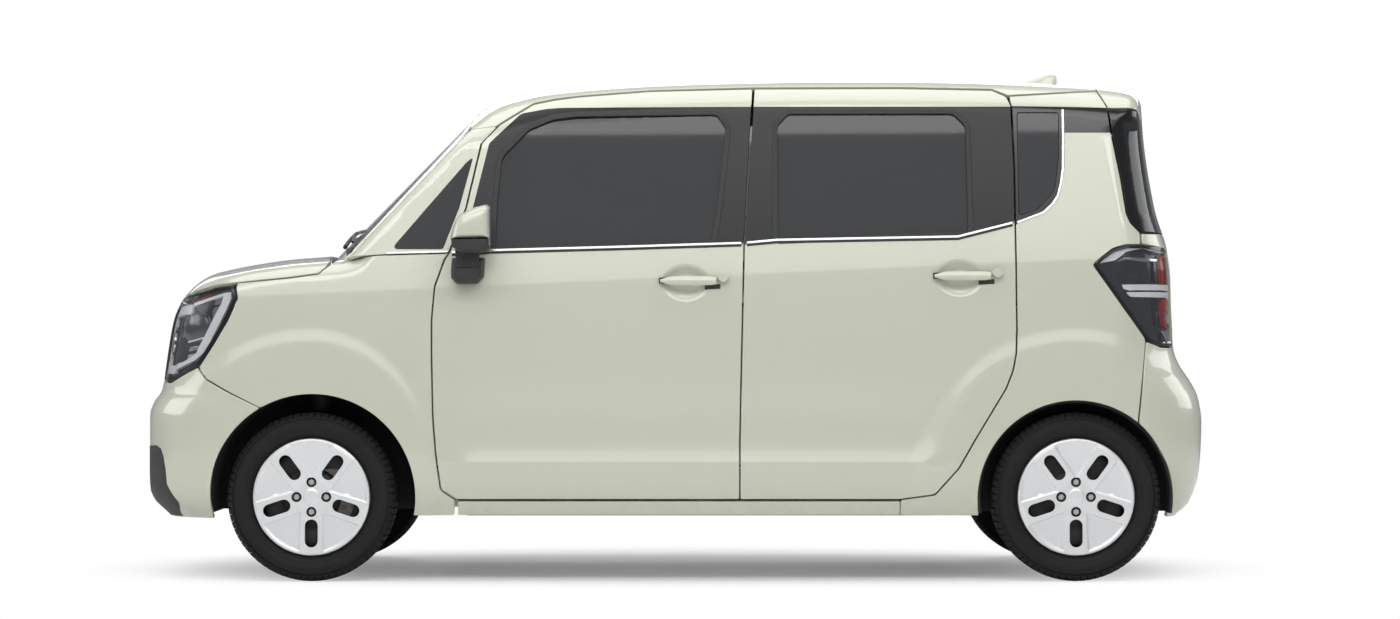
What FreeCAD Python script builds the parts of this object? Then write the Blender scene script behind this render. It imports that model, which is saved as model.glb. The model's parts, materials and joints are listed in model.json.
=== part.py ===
"""A tall light city car of near kei size, built as separate panels, glass, lamps, running gear and cabin pieces.

Row frame: origin on the ground under the middle of the car's length and width, +X to the rear, +Y to the
car's right, +Z up. Lengths are millimetres. The skin of the body is one form, written as rounded
intersections of a flank, a nose, a tail, a bonnet and a cabin, and every panel is cut from that form.
"""

import FreeCAD, Part

import math
import os

V = FreeCAD.Vector

# Overall size
HALF_WIDTH = 797.5

# Running gear
WHEELBASE = 2520.0
FRONT_AXLE_X = -1198.0
REAR_AXLE_X = FRONT_AXLE_X + WHEELBASE
TYRE_R = 278.0
TYRE_W = 165.0
TYRE_FLATS = 48
RIM_R = 195.0
RIM_BARREL_R = 178.0
TRACK_HALF = 703.0
AXLE_Z = TYRE_R
FRONT_ARCH_R = 338.0
REAR_ARCH_R = 322.0

# Panels
SHUT_GAP = 6.4
DOOR_SKIN = 10.0
DOOR_DEPTH = 62.0
DOOR_STEP = 13.0
FRAME_DEPTH = 88.0
WALL_DEPTH = 116.0
GLASS_T = 4.5

# Heights and profiles, each a list of (place, value) that a smooth curve runs through
NOSE_X = [(180, -1700), (222, -1738), (262, -1780), (300, -1795), (360, -1797.5), (545, -1797.5),
          (592, -1781), (625, -1757), (700, -1746), (812, -1729), (868, -1717), (925, -1692), (1010, -1640),
          (1110, -1560)]
TAIL_X = [(180, 1690), (217, 1716), (244, 1749), (290, 1771), (340, 1786), (437, 1795), (519, 1797.5),
          (600, 1786), (660, 1757), (712, 1722), (760, 1704), (830, 1697), (1000, 1693), (1101, 1686),
          (1234, 1648), (1464, 1610), (1560, 1602), (1610, 1598), (1660, 1582), (1720, 1556)]
ROOF_Z = [(-760, 1548), (-690, 1586), (-640, 1608), (-590, 1625), (-515, 1642), (-413, 1656), (-259, 1669),
          (-105, 1677), (253, 1688), (509, 1692), (662, 1692), (970, 1688), (1277, 1677), (1379, 1671),
          (1452, 1664), (1520, 1652), (1580, 1632), (1640, 1600)]
BONNET_Z = [(-1760, 950), (-1690, 985), (-1627, 1012), (-1522, 1040), (-1417, 1060), (-1313, 1074),
            (-1208, 1082), (-1150, 1088), (-1095, 1106), (-1045, 1160), (-985, 1300), (-900, 1520)]
SCREEN_FOOT = (-1160.0, 1080.0)
SCREEN_SLOPE = 0.981
SCREEN_BOW = 84.0
COWL_BOW = 50.0
NOSE_BOW = 45.0
TAIL_BOW = 42.0
BONNET_CROWN = 30.0
ROOF_CROWN = 42.0


def mono(points):
    """A smooth function through (place, value) points that never overshoots between them."""
    xs = [p[0] for p in points]
    ys = [p[1] for p in points]
    slopes = [(ys[i + 1] - ys[i]) / (xs[i + 1] - xs[i]) for i in range(len(xs) - 1)]
    tangents = [slopes[0]]
    for left, right in zip(slopes, slopes[1:]):
        tangents.append(0.0 if left * right <= 0 else 2 * left * right / (left + right))
    tangents.append(slopes[-1])

    def value(x):
        if x <= xs[0]:
            return ys[0] + tangents[0] * (x - xs[0])
        if x >= xs[-1]:
            return ys[-1] + tangents[-1] * (x - xs[-1])
        i = 0
        while x > xs[i + 1]:
            i += 1
        h = xs[i + 1] - xs[i]
        t = (x - xs[i]) / h
        return (ys[i] * (1 + 2 * t) * (1 - t) ** 2 + tangents[i] * h * t * (1 - t) ** 2
                + ys[i + 1] * t * t * (3 - 2 * t) + tangents[i + 1] * h * t * t * (t - 1))

    return value


nose_x = mono(NOSE_X)
tail_x = mono(TAIL_X)
roof_z = mono(ROOF_Z)
bonnet_z = mono(BONNET_Z)


def ramp(t, radius):
    """Zero below 0 and t above it, with the corner rounded."""
    return 0.5 * (t + math.sqrt(t * t + radius * radius))


def step(t):
    """A smooth rise from 0 to 1."""
    t = min(max(t, 0.0), 1.0)
    return t * t * (3 - 2 * t)


def rounded(a, b, radius):
    """Two outward distances met with a rounded edge of that radius."""
    if a > -radius and b > -radius:
        return math.hypot(a + radius, b + radius) - radius
    return max(a, b)


def arch_swell(x, z, axle_x, reach_front, reach_rear, height):
    """How far the wheel-arch ring stands out of the flank, as a share of its full height."""
    dx = x - axle_x
    reach = reach_front if dx < 0 else reach_rear
    e = math.hypot(dx / reach, max(z - AXLE_Z, 0.0) / height)
    return step((1.09 - e) / 0.17)


def flank(x, z):
    """Half the body's width at a place on its side, before the corners are rounded."""
    door = step((x + 830) / 190) * (1 - step((x - 840) / 190))
    sill_crease = 6 + 80 * (1 - door)
    y = 788 - 0.27 * ramp(394 - z, sill_crease)
    hollow = max(z - 394, 0.0) / 112
    y -= door * 15.5 * hollow * math.exp(1 - hollow)
    shoulder = 1000 + 0.0447 * x
    y -= 0.17 * ramp(z - shoulder, 9)
    y -= 0.04 * ramp(z - (shoulder + 90), 40)
    swell = max(arch_swell(x, z, FRONT_AXLE_X, 520, 415, 520), arch_swell(x, z, REAR_AXLE_X, 520, 470, 520))
    y += 17 * swell
    limit = HALF_WIDTH - 0.5
    return 0.5 * (y + limit - math.sqrt((y - limit) ** 2 + 9))


def corner_radius(z):
    """Plan radius of the body's corners: large at the bumpers, small at the spoiler."""
    return 205 - 85 * step((z - 700) / 500) - 88 * step((z - 1470) / 110)


def lower_form(x, y, z):
    """Outward distance from the body below the belt: flank, nose, tail and bonnet."""
    side = abs(y) - flank(x, z)
    nose = nose_x(z) + NOSE_BOW * (y / 600) ** 2 - x
    tail = x - tail_x(z) + TAIL_BOW * (y / 600) ** 2
    top = z - bonnet_z(x - COWL_BOW * (y / 720) ** 2) + BONNET_CROWN * (y / 720) ** 2
    body = rounded(side, max(nose, tail), corner_radius(z))
    return rounded(body, top, 58)


def screen_x(y, z):
    return SCREEN_FOOT[0] + (z - SCREEN_FOOT[1]) * SCREEN_SLOPE + SCREEN_BOW * (abs(y) / 720) ** 2.2


def cabin_form(x, y, z):
    """Outward distance from the cabin: flank, windscreen, roof and tailgate."""
    side = abs(y) - flank(x, z)
    screen = (screen_x(y, z) - x) * 0.714
    fade = 1 - step((x + 560) / 700)
    roof = z - roof_z(max(x - SCREEN_BOW * fade * (abs(y) / 720) ** 2.2, -720)) + ROOF_CROWN * (y / 640) ** 2
    tail = x - tail_x(z) + TAIL_BOW * 1.3 * (y / 600) ** 2
    body = rounded(rounded(side, roof, 88), tail, corner_radius(z))
    return rounded(body, screen, 24)


def flank_form(x, y, z):
    """The body's side without the windscreen, for panels that run past the pillars."""
    side = abs(y) - flank(x, z)
    tail = x - tail_x(z) + TAIL_BOW * (1 + 0.3 * step((z - 1000) / 150)) * (y / 600) ** 2
    fade = 1 - step((x + 560) / 700)
    roof = z - roof_z(max(x - SCREEN_BOW * fade * (abs(y) / 720) ** 2.2, -720)) + ROOF_CROWN * (y / 640) ** 2
    return rounded(rounded(side, roof, 88), tail, corner_radius(z))


def frame_form(x, y, z):
    """The plain inner frame behind the doors, which leaves out the wheel-arch swell."""
    side = abs(y) - flank(0, z)
    tail = x - tail_x(z) + TAIL_BOW * (1 + 0.3 * step((z - 1000) / 150)) * (y / 600) ** 2
    roof = z - roof_z(max(x, -720)) + ROOF_CROWN * (y / 640) ** 2
    return rounded(rounded(side, roof, 88), tail, corner_radius(z))


def hit(form, start, direction, reach=900.0):
    """The point where a ray from inside the form leaves it."""
    near = 0.0
    far = reach
    for _ in range(34):
        mid = 0.5 * (near + far)
        p = start + direction * mid
        if form(p.x, p.y, p.z) > 0:
            far = mid
        else:
            near = mid
    return start + direction * near


def normal(form, p):
    """The form's outward direction at a point."""
    h = 0.6
    n = V(form(p.x + h, p.y, p.z) - form(p.x - h, p.y, p.z),
          form(p.x, p.y + h, p.z) - form(p.x, p.y - h, p.z),
          form(p.x, p.y, p.z + h) - form(p.x, p.y, p.z - h))
    n.normalize()
    return n


def spread(low, high, count):
    return [low + (high - low) * i / (count - 1) for i in range(count)]


def spline_face(points):
    surface = Part.BSplineSurface()
    surface.interpolate(points)
    return surface


def between(outer, inner):
    """The solid between two interpolated grids of points."""
    top = spline_face(outer)
    under = spline_face(inner)
    u0, u1, v0, v1 = top.bounds()
    s0, s1, t0, t1 = under.bounds()
    faces = [top.toShape(), under.toShape()]
    for upper, lower in ((top.uIso(u0), under.uIso(s0)), (top.uIso(u1), under.uIso(s1)),
                         (top.vIso(v0), under.vIso(t0)), (top.vIso(v1), under.vIso(t1))):
        faces.append(Part.makeRuledSurface(upper.toShape(), lower.toShape()))
    shell = Part.Shell(faces)
    shell.sewShape()
    solid = Part.Solid(shell)
    if solid.Volume < 0:
        solid.reverse()
    return solid


def skin(form, rays, depth_out, depth_in):
    """The wall of a form between two depths below its surface, over a grid of rays."""
    outer = []
    inner = []
    for row in rays:
        outer_row = []
        inner_row = []
        for start, direction in row:
            p = hit(form, start, direction)
            slant = max(normal(form, p).dot(direction), 0.6)
            outer_row.append(p - direction * (depth_out / slant))
            inner_row.append(p - direction * (depth_in / slant))
        outer.append(outer_row)
        inner.append(inner_row)
    return between(outer, inner)


def turned(angle_deg, first, second):
    """A direction turned from one unit vector towards another."""
    a = math.radians(angle_deg)
    return first * math.cos(a) + second * math.sin(a)


LEFT = V(0, -1, 0)
FRONT = V(-1, 0, 0)
REAR = V(1, 0, 0)
UP = V(0, 0, 1)
FAN_Y = -300.0
FAN_Z = 1330.0
FAN_ANGLES = (10, 24, 37, 48, 57, 65, 73)
SIDE_LEVELS = (205, 250, 300, 350, 385, 403, 440, 500, 590, 700, 810, 910, 970, 1003, 1030, 1080, 1150,
               1240, 1330)


def side_rays(x0, x1, count, levels=SIDE_LEVELS, angles=FAN_ANGLES, fan_y=FAN_Y):
    """Rays to the left flank, then fanned up over its top edge."""
    rays = []
    for x in spread(x0, x1, count):
        row = [(V(x, fan_y, z), LEFT) for z in levels]
        row += [(V(x, fan_y, levels[-1]), turned(a, LEFT, UP)) for a in angles]
        rays.append(row)
    return rays


def roof_rays(x0, x1, count):
    """Rays over the whole roof from one side's edge to the other's."""
    rays = []
    half = (30, 40, 48, 55, 62, 70, 80)
    for x in spread(x0, x1, count):
        row = [(V(x, FAN_Y, FAN_Z), turned(a, LEFT, UP)) for a in half]
        row += [(V(x, y, FAN_Z), UP) for y in spread(FAN_Y, -FAN_Y, 9)]
        row += [(V(x, -FAN_Y, FAN_Z), turned(a, LEFT * -1, UP)) for a in reversed(half)]
        rays.append(row)
    return rays


def end_rays(x_list, centre_x, ahead, levels, centre_y=-440.0):
    """Rays round one end of the car, from the left flank to the right flank."""
    half = [(V(x, centre_y, 0), LEFT) for x in x_list]
    half += [(V(centre_x, centre_y, 0), turned(a, LEFT, ahead)) for a in range(0, 90, 13)]
    half += [(V(centre_x, y, 0), ahead) for y in spread(centre_y, 0, 4)]
    plan = half + [(V(p.x, -p.y, 0), V(d.x, -d.y, 0)) for p, d in reversed(half[:-1])]
    return [[(V(p.x, p.y, z), d) for z in levels] for p, d in plan]


def gate_rays():
    """Rays round the tail from flank to flank, each column fanned up over the roof's rear edge."""
    x, y, top = 1345, -430, 1480
    half = [(V(x, y, 0), turned(a, LEFT, REAR)) for a in range(6, 90, 14)]
    half += [(V(x, across_y, 0), REAR) for across_y in spread(y, 0, 4)]
    plan = half + [(V(p.x, -p.y, 0), V(d.x, -d.y, 0)) for p, d in reversed(half[:-1])]
    rays = []
    for p, d in plan:
        row = [(V(p.x, p.y, z), d) for z in (770, 840, 920, 1000, 1060, 1110, 1170, 1250, 1330, 1400, top)]
        row += [(V(p.x, p.y, top), turned(a, d, UP)) for a in (12, 22, 31, 40, 50, 60, 70)]
        rays.append(row)
    return rays


def dome_rays(x_list, front_angles, front_x, side_y, side_angles, base_z, middle=7):
    """Rays up over the bonnet, fanned forwards at its nose and outwards at its sides."""
    ahead = [(front_x, a) for a in front_angles] + [(x, 0) for x in x_list]
    across = [(-side_y, -a) for a in side_angles] + [(y, 0) for y in spread(-side_y, side_y, middle)]
    across += [(side_y, a) for a in reversed(side_angles)]
    rays = []
    for x, tilt_x in ahead:
        row = []
        for y, tilt_y in across:
            lean = math.radians(tilt_x)
            roll = math.radians(tilt_y)
            d = V(-math.sin(lean) * math.cos(roll * 0.6), math.sin(roll), math.cos(lean) * math.cos(roll))
            d.normalize()
            row.append((V(x, y, base_z), d))
        rays.append(row)
    return rays


def outline_points(points):
    """Outline corners given as (x, z) or (x, z, radius); rounded ones become arcs."""
    edges = []
    count = len(points)
    ends = []
    for i in range(count):
        here = V(points[i][0], points[i][1], 0)
        radius = points[i][2] if len(points[i]) > 2 else 0
        if not radius:
            ends.append((here, None, here))
            continue
        before = points[i - 1]
        after = points[(i + 1) % count]
        a = V(before[0], before[1], 0) - here
        b = V(after[0], after[1], 0) - here
        half = 0.5 * a.getAngle(b)
        reach = min(radius / math.tan(half), 0.49 * a.Length, 0.49 * b.Length)
        a.normalize()
        b.normalize()
        rise = reach * math.tan(half)
        middle_way = a + b
        middle_way.normalize()
        middle = here + middle_way * (rise / math.sin(half) - rise)
        ends.append((here + a * reach, middle, here + b * reach))
    for i in range(count):
        start, middle, end = ends[i]
        if middle is not None:
            edges.append(Part.Arc(start, middle, end).toShape())
        following = ends[(i + 1) % count][0]
        if (following - end).Length > 0.01:
            edges.append(Part.LineSegment(end, following).toShape())
    return Part.Wire(edges)


def prism(points, grow=0.0, y0=-1000.0, y1=0.0):
    """A side-view outline carried across the car, grown or shrunk by a distance."""
    face = Part.Face(outline_points(points))
    if grow:
        face = face.makeOffset2D(grow, 2 if grow > 0 else 0)
        if face.ShapeType != "Face":
            face = Part.Face(face.Wires[0])
    face = face.copy()
    face.rotate(V(0, 0, 0), V(1, 0, 0), 90)
    face.translate(V(0, y0, 0))
    return face.extrude(V(0, y1 - y0, 0))


def mirrored(shape):
    return shape.mirror(V(0, 0, 0), V(0, 1, 0))


def both(shape):
    return Part.makeCompound([shape, mirrored(shape)])


def block(x0, x1, y0, y1, z0, z1):
    return Part.makeBox(x1 - x0, y1 - y0, z1 - z0, V(x0, y0, z0))


def rod(start, end, radius):
    way = V(*end) - V(*start)
    return Part.makeCylinder(radius, way.Length, V(*start), way)


def across(x, z, radius, y0, y1):
    """A cylinder that lies across the car."""
    return Part.makeCylinder(radius, y1 - y0, V(x, y0, z), V(0, 1, 0))


def fused(first, *others):
    return first.fuse(list(others)).removeSplitter()


nodes = {}

# Side-view outlines, left side
FRONT_DOOR = [(-744, 1083, 15), (-760, 1059), (-791, 971), (-801, 860), (-801, 740), (-797, 541), (-787, 421),
              (-772, 301, 20), (-721, 268, 12), (214, 268, 6), (214, 461), (218, 661), (227, 1059),
              (228, 1109), (259, 1633, 8), (-84, 1625), (-326, 1606), (-399, 1596), (-472, 1581),
              (-581, 1512), (-641, 1450, 20), (-690, 1232)]
REAR_DOOR = [(214, 268, 6), (742, 268, 60), (857, 285, 30), (934, 372), (983, 458), (1047, 565), (1090, 636),
             (1112, 693), (1123, 750), (1126, 829), (1124, 960), (1122, 1175), (1122, 1358), (1115, 1572),
             (1102, 1605, 25), (1054, 1628), (748, 1634), (262, 1633, 8), (228, 1109), (227, 1059),
             (218, 661), (214, 461)]
FRONT_WINDOW = [(-596, 1096, 20), (-592, 1240), (-578, 1401, 60), (-486, 1497, 60), (-406, 1531, 60),
                (-326, 1541), (141, 1547, 30), (173, 1499, 30), (144, 1240), (124, 1113, 20)]
REAR_WINDOW = [(335, 1125, 12), (334, 1507, 30), (372, 1549, 30), (923, 1550, 35), (966, 1507, 35),
               (971, 1147, 12)]
FRONT_QUARTER = [(-938, 1094, 14), (-764, 1094, 14), (-712, 1232), (-667, 1404, 20), (-690, 1386, 30)]
REAR_QUARTER = [(1133, 1550, 8), (1134, 1204, 10), (1199, 1226, 60), (1256, 1290, 60), (1270, 1401),
                (1273, 1550, 8)]
FENDER = [(-1441, 982), (-1267, 1000), (-1175, 1013), (-1149, 1036, 12), (-1120, 1062), (-1067, 1071),
          (-952, 1077), (-744, 1083), (-760, 1059), (-791, 971), (-801, 860), (-801, 740), (-797, 541),
          (-787, 421), (-772, 301, 20), (-726, 268), (-726, 214), (-1300, 214), (-1300, 572), (-1368, 572),
          (-1464, 621, 60), (-1545, 667), (-1572, 706), (-1549, 739), (-1518, 785), (-1473, 860),
          (-1440, 932, 12), (-1449, 980)]
HEADLAMP = [(-1594, 953, 8), (-1451, 983, 12), (-1440, 932, 30), (-1473, 860), (-1518, 785), (-1549, 739),
            (-1575, 709), (-1617, 686), (-1675, 655), (-1900, 655), (-1900, 918), (-1692, 920),
            (-1640, 936)]
TAIL_LAMP = [(1377, 1044, 10), (1406, 1069), (1444, 1098, 40), (1488, 1110, 30), (1539, 1110), (1608, 1100),
             (1900, 1096), (1900, 773), (1636, 773), (1610, 774, 20), (1558, 795, 30), (1480, 899, 60)]
HEADLAMP_INNER_Y = -430.0
TAIL_LAMP_INNER_Y = -588.0
BONNET_EDGE = [(-1900, 920), (-1690, 925), (-1594, 956), (-1519, 977), (-1449, 984), (-1267, 1002),
               (-1175, 1015), (-1152, 1037, 12), (-1138, 1062), (-1138, 1200), (-1900, 1200)]
NOSE_EDGE = [(-1900, 150), (-1380, 150), (-1340, 560), (-1464, 621, 60), (-1545, 667), (-1572, 706),
             (-1594, 953), (-1690, 922), (-1900, 917)]
REAR_BUMPER_EDGE = [(1900, 150), (1526, 150), (1526, 536), (1540, 664), (1555, 786),
                    (1900, 786)]
TAILGATE_EDGE = [(1900, 790), (1560, 790), (1539, 1112), (1538, 1150, 6), (1527, 1164), (1503, 1183, 20), (1490, 1215),
                 (1474, 1329), (1445, 1483), (1435, 1566), (1405, 1626), (1405, 1900), (1900, 1900)]
QUARTER_PANEL = [(1126, 829), (1123, 750), (1112, 693), (1090, 636), (1047, 565), (983, 458), (934, 372),
                 (857, 285), (742, 268), (742, 214), (1526, 214), (1526, 536), (1540, 664),
                 (1555, 790), (1536, 1112), (1536, 1150), (1503, 1183), (1490, 1215), (1474, 1329),
                 (1445, 1483), (1435, 1566), (1404, 1626), (1106, 1607), (1115, 1572),
                 (1122, 1358), (1122, 1175), (1124, 960)]
PILLAR = [(-1150, 1073), (-1067, 1076), (-952, 1081), (-749, 1087), (-697, 1232), (-650, 1446),
          (-600, 1503), (-520, 1557), (-540, 1620), (-700, 1620), (-1150, 1200)]
ROOF_EDGE = [(-880, 1500), (-597, 1500), (-581, 1516), (-472, 1586), (-399, 1601), (-326, 1610), (-84, 1629),
             (262, 1638), (748, 1639), (1054, 1633), (1106, 1610), (1403, 1629), (1403, 1800), (-880, 1800)]
DASH_SECTION = [(-812, 1012), (-700, 1020), (-626, 985), (-610, 930), (-640, 860), (-668, 760), (-700, 700),
                (-812, 700)]
HEADER_Z = 1576.0
HEADER_DROP = 50.0
FLOOR_TOP = 344.0
PILLAR_DEPTH = 72.0
HALF_GAP = SHUT_GAP / 2
BELT_SPLIT = (1075.0, 1107.0)
PANEL_DEPTH = 78.5
FRAME_TOP_Y = -606.0

# Grids of rays that the panels are cut from
front_door_rays = side_rays(-840, 290, 15)
rear_door_rays = side_rays(180, 1160, 16)
quarter_rays = side_rays(880, 1562, 16)
sill_rays = side_rays(-740, 790, 8, (205, 220, 240, 270), ())
fender_rays = side_rays(-1600, -690, 20, SIDE_LEVELS[:12], (8, 16, 24, 32, 40, 50, 60), -600.0)
pillar_rays = side_rays(-1120, -500, 14, (980, 1010, 1040, 1070, 1130, 1200, 1265, 1330))
frame_rays = side_rays(-860, 1562, 12, (205, 300, 394, 480, 600, 800, 980, 1060, 1200, 1330), (12, 25, 38))
screen_rays = [[(V(screen_x(0, z) + 157, y, z - 154), V(-0.714, 0, 0.7)) for y in spread(-745, 745, 13)]
               for z in spread(1070, 1600, 10)]
nose_grid = end_rays(spread(-1300, -1480, 6), -1490, FRONT,
                     (205, 240, 270, 300, 330, 400, 470, 530, 565, 592, 620, 660, 720, 790, 850, 910, 985),
                     -430.0)
bumper_grid = end_rays(spread(1300, 1430, 5), 1440, REAR,
                       (205, 240, 280, 330, 400, 480, 540, 580, 620, 660, 700, 740, 800))
tail_grid = end_rays(spread(1330, 1420, 3), 1430, REAR,
                     (770, 850, 940, 1020, 1080, 1130, 1200, 1290, 1380, 1460, 1500, 1540, 1572))


def plug(form, rays, outline, grow, depth_out, depth_in):
    return skin(form, rays, depth_out, depth_in).common(prism(outline, grow))


def above_belt(clear):
    """The space over the line where the window frames stand on the doors."""
    return prism([(-900, BELT_SPLIT[0] + clear), (1200, BELT_SPLIT[1] + clear), (1200, 1800), (-900, 1800)], 0, -1100)


def door(name, rays, outline, window, handle_x, handle_z):
    """Lower panel with its stepped inner box and pull handle, the window frame that stands on it, and the glass."""
    shell = plug(flank_form, rays, outline, -HALF_GAP, 0, DOOR_SKIN).cut(prism(window))
    inner = plug(flank_form, rays, outline, -HALF_GAP - DOOR_STEP, DOOR_SKIN, DOOR_DEPTH)
    inner = inner.common(block(-900, 1200, -1000, FRAME_TOP_Y, 200, 1700)).cut(prism(window, 10))
    y = -flank(handle_x + 110, handle_z + 15)
    grip = block(handle_x, handle_x + 228, y - 26, y - 10, handle_z, handle_z + 26)
    grip = grip.makeFillet(7, grip.Edges)
    posts = [across(handle_x + dx, handle_z + 13, 8, y - 12, y + 6) for dx in (24, 204)]
    whole = shell.fuse(inner)
    nodes[name] = whole.cut(above_belt(-0.2)).fuse([grip] + posts)
    nodes[name.replace("door", "sash")] = whole.common(above_belt(0.2))
    nodes[name.replace("door", "window")] = plug(flank_form, rays, window, 8.5, DOOR_SKIN + 0.3,
                                                 DOOR_SKIN + 0.3 + GLASS_T)


# The inner frame's members as side-view boxes (x0, x1, z0, z1): sill, front post, centre post and rear wall
FRAME_MEMBERS = [(-900, 742, 200, 298), (-900, -600, 298, 1085), (-900, 0, 1085, 1700), (0, 400, 298, 1085),
                 (0, 400, 1085, 1700), (742, 1010, 200, 1085), (1010, 1320, 200, 1085), (1320, 1700, 200, 1085),
                 (1010, 1152, 1085, 1700), (1152, 1700, 1085, 1222), (1152, 1700, 1222, 1700)]
RAIL_RUNS = [(-520, -300), (-300, 1070), (1070, 1394)]
SEAM = 0.2


def body_side():
    """Inner frame of posts and bars round the door openings, roof rail, sill and rear quarter."""
    wall = skin(frame_form, frame_rays, FRAME_DEPTH, WALL_DEPTH)
    wall = wall.common(prism([(-815, 217), (1526, 217), (1526, 640), (1545, 790), (1545, 1100), (1528, 1140),
                              (1493, 1178), (1478, 1215), (1462, 1329), (1433, 1483), (1421, 1530),
                              (-600, 1530), (-690, 1460), (-790, 1180), (-815, 970)]))
    arch = across(REAR_AXLE_X - 2, 275, REAR_ARCH_R, -1000, 0)
    wall = wall.cut([prism(FRONT_DOOR, -30), prism(REAR_DOOR, -30), prism(REAR_QUARTER, -12), arch,
                     prism(TAIL_LAMP, 3), prism(PILLAR, 3)])
    quarter = skin(flank_form, quarter_rays, 0, PANEL_DEPTH).common(prism(QUARTER_PANEL, -HALF_GAP))
    sill = skin(flank_form, sill_rays, 0, PANEL_DEPTH).common(block(-718, 744, -1000, 0, 218, 262))
    glass_seat = skin(flank_form, quarter_rays, -10, 6).common(prism(REAR_QUARTER))
    quarter = quarter.cut([glass_seat, prism(REAR_QUARTER, -12), prism(TAIL_LAMP, 2), arch])
    rail = skin(flank_form, roof_rays(-560, 1398, 16), 26, PANEL_DEPTH - 2)
    rail = rail.cut([prism(FRONT_DOOR, -30), prism(REAR_DOOR, -30), prism(QUARTER_PANEL, 2), prism(PILLAR, 2)])
    members = []
    for x0, x1, z0, z1 in FRAME_MEMBERS:
        member = wall.common(block(x0 + SEAM, x1 - SEAM, -1000, 0, z0 + SEAM, z1 - SEAM))
        members.append(max(member.Solids, key=lambda solid: solid.Volume))
    for x0, x1 in RAIL_RUNS:
        run = rail.common(block(x0 + SEAM, x1 - SEAM, -598, -420, 1500, 1800))
        members.append(max(run.Solids, key=lambda solid: solid.Volume))
    return Part.makeCompound(members + [quarter.Solids[0], sill.Solids[0]])


def windscreen_pillar():
    """Front pillar with the seat for the small fixed front quarter glass."""
    pillar = skin(flank_form, pillar_rays, 0, PILLAR_DEPTH).common(prism(PILLAR))
    glass_seat = skin(flank_form, pillar_rays, -10, 7).common(prism(FRONT_QUARTER))
    return pillar.cut([glass_seat, prism(FRONT_QUARTER, -8), roof_band(-1.5),
                       skin(cabin_form, screen_rays, GLASS_T + 1, -160)])


def roof_panel():
    """Roof with its rolled side edges and the radio aerial's fin."""
    shell = skin(cabin_form, roof_rays(-690, 1470, 16), 0, 20).common(roof_band(1.5))
    base = [V(x, y, 1676) for x, y in ((1168, 0), (1200, -15), (1262, -19), (1282, 0), (1262, 19), (1200, 15))]
    tip = [V(x, y, 1718) for x, y in ((1252, 0), (1260, -2), (1274, -3), (1280, 0), (1274, 3), (1260, 2))]
    fin = Part.makeLoft([Part.makePolygon(base + base[:1]), Part.makePolygon(tip + tip[:1])], True, True)
    return shell.fuse(fin)


def roof_band(clear):
    """The space above the roof's seams with the windscreen and the doors."""
    drop = HEADER_DROP
    low = HEADER_Z + clear
    arc = Part.Arc(V(0, -700, low - drop), V(0, 0, low), V(0, 700, low - drop)).toShape()
    corners = [V(0, 700, low - drop), V(0, 700, 1900), V(0, -700, 1900), V(0, -700, low - drop)]
    header = Part.Face(Part.Wire([arc] + Part.makePolygon(corners).Edges)).extrude(V(3000, 0, 0))
    header.translate(V(-900, 0, 0))
    return both_side_prism(ROOF_EDGE, -clear).common(header)


def both_side_prism(points, grow=0.0):
    return prism(points, grow, -1000, 1000)


def plan_region(x_front, x_rear):
    """A band across the car between two bowed edges, each given at the middle of the car."""
    edges = []
    for x, turn in ((x_front, 1), (x_rear, -1)):
        edges.append(Part.Arc(V(x + COWL_BOW, -720 * turn, 0), V(x, 0, 0), V(x + COWL_BOW, 720 * turn, 0)).toShape())
    edges.insert(1, Part.LineSegment(edges[0].Vertexes[1].Point, edges[1].Vertexes[0].Point).toShape())
    edges.append(Part.LineSegment(edges[2].Vertexes[1].Point, edges[0].Vertexes[0].Point).toShape())
    return Part.Face(Part.Wire(Part.__sortEdges__(edges))).extrude(V(0, 0, 2000))


def tube_ring(outer_r, inner_r, y0, y1, x, z):
    return across(x, z, outer_r, y0, y1).cut(across(x, z, inner_r, y0 - 1, y1 + 1))


def revolved(section, x, z):
    """A closed section of (y, radius) points turned about an axle that lies across the car."""
    wire = Part.makePolygon([V(0, y, r) for y, r in section] + [V(0, section[0][0], section[0][1])])
    shape = Part.Face(wire).revolve(V(0, 0, 0), V(0, 1, 0), 360)
    shape.translate(V(x, 0, z))
    return shape


def drum(profile, x):
    """A body turned in flats about an axle across the car, lofted through its (y, radius) profile."""
    rings = []
    for y, radius in profile:
        corners = [V(x + radius * math.sin(2 * math.pi * k / TYRE_FLATS), y,
                     AXLE_Z - radius * math.cos(2 * math.pi * k / TYRE_FLATS)) for k in range(TYRE_FLATS)]
        rings.append(Part.makePolygon(corners + corners[:1]))
    return Part.makeLoft(rings, True, True)


def tyre(x):
    """Carcass with sidewalls that bulge past the rim, shoulders and a flat tread."""
    y = -TRACK_HALF
    half = TYRE_W / 2
    profile = [(y - 63.5, 197), (y - 76, 212), (y - half, 232), (y - half + 4, 252), (y - half + 15, 268),
               (y - half + 38, TYRE_R)]
    profile += [(2 * y - across_y, radius) for across_y, radius in reversed(profile)]
    return drum(profile, x).cut(drum([(y - half, 181), (y + half, 181)], x))


SLOT_IN = 78.0
SLOT_OUT = 160.0
SLOT_HALF = 23.0
SLOT_COUNT = 5


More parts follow.
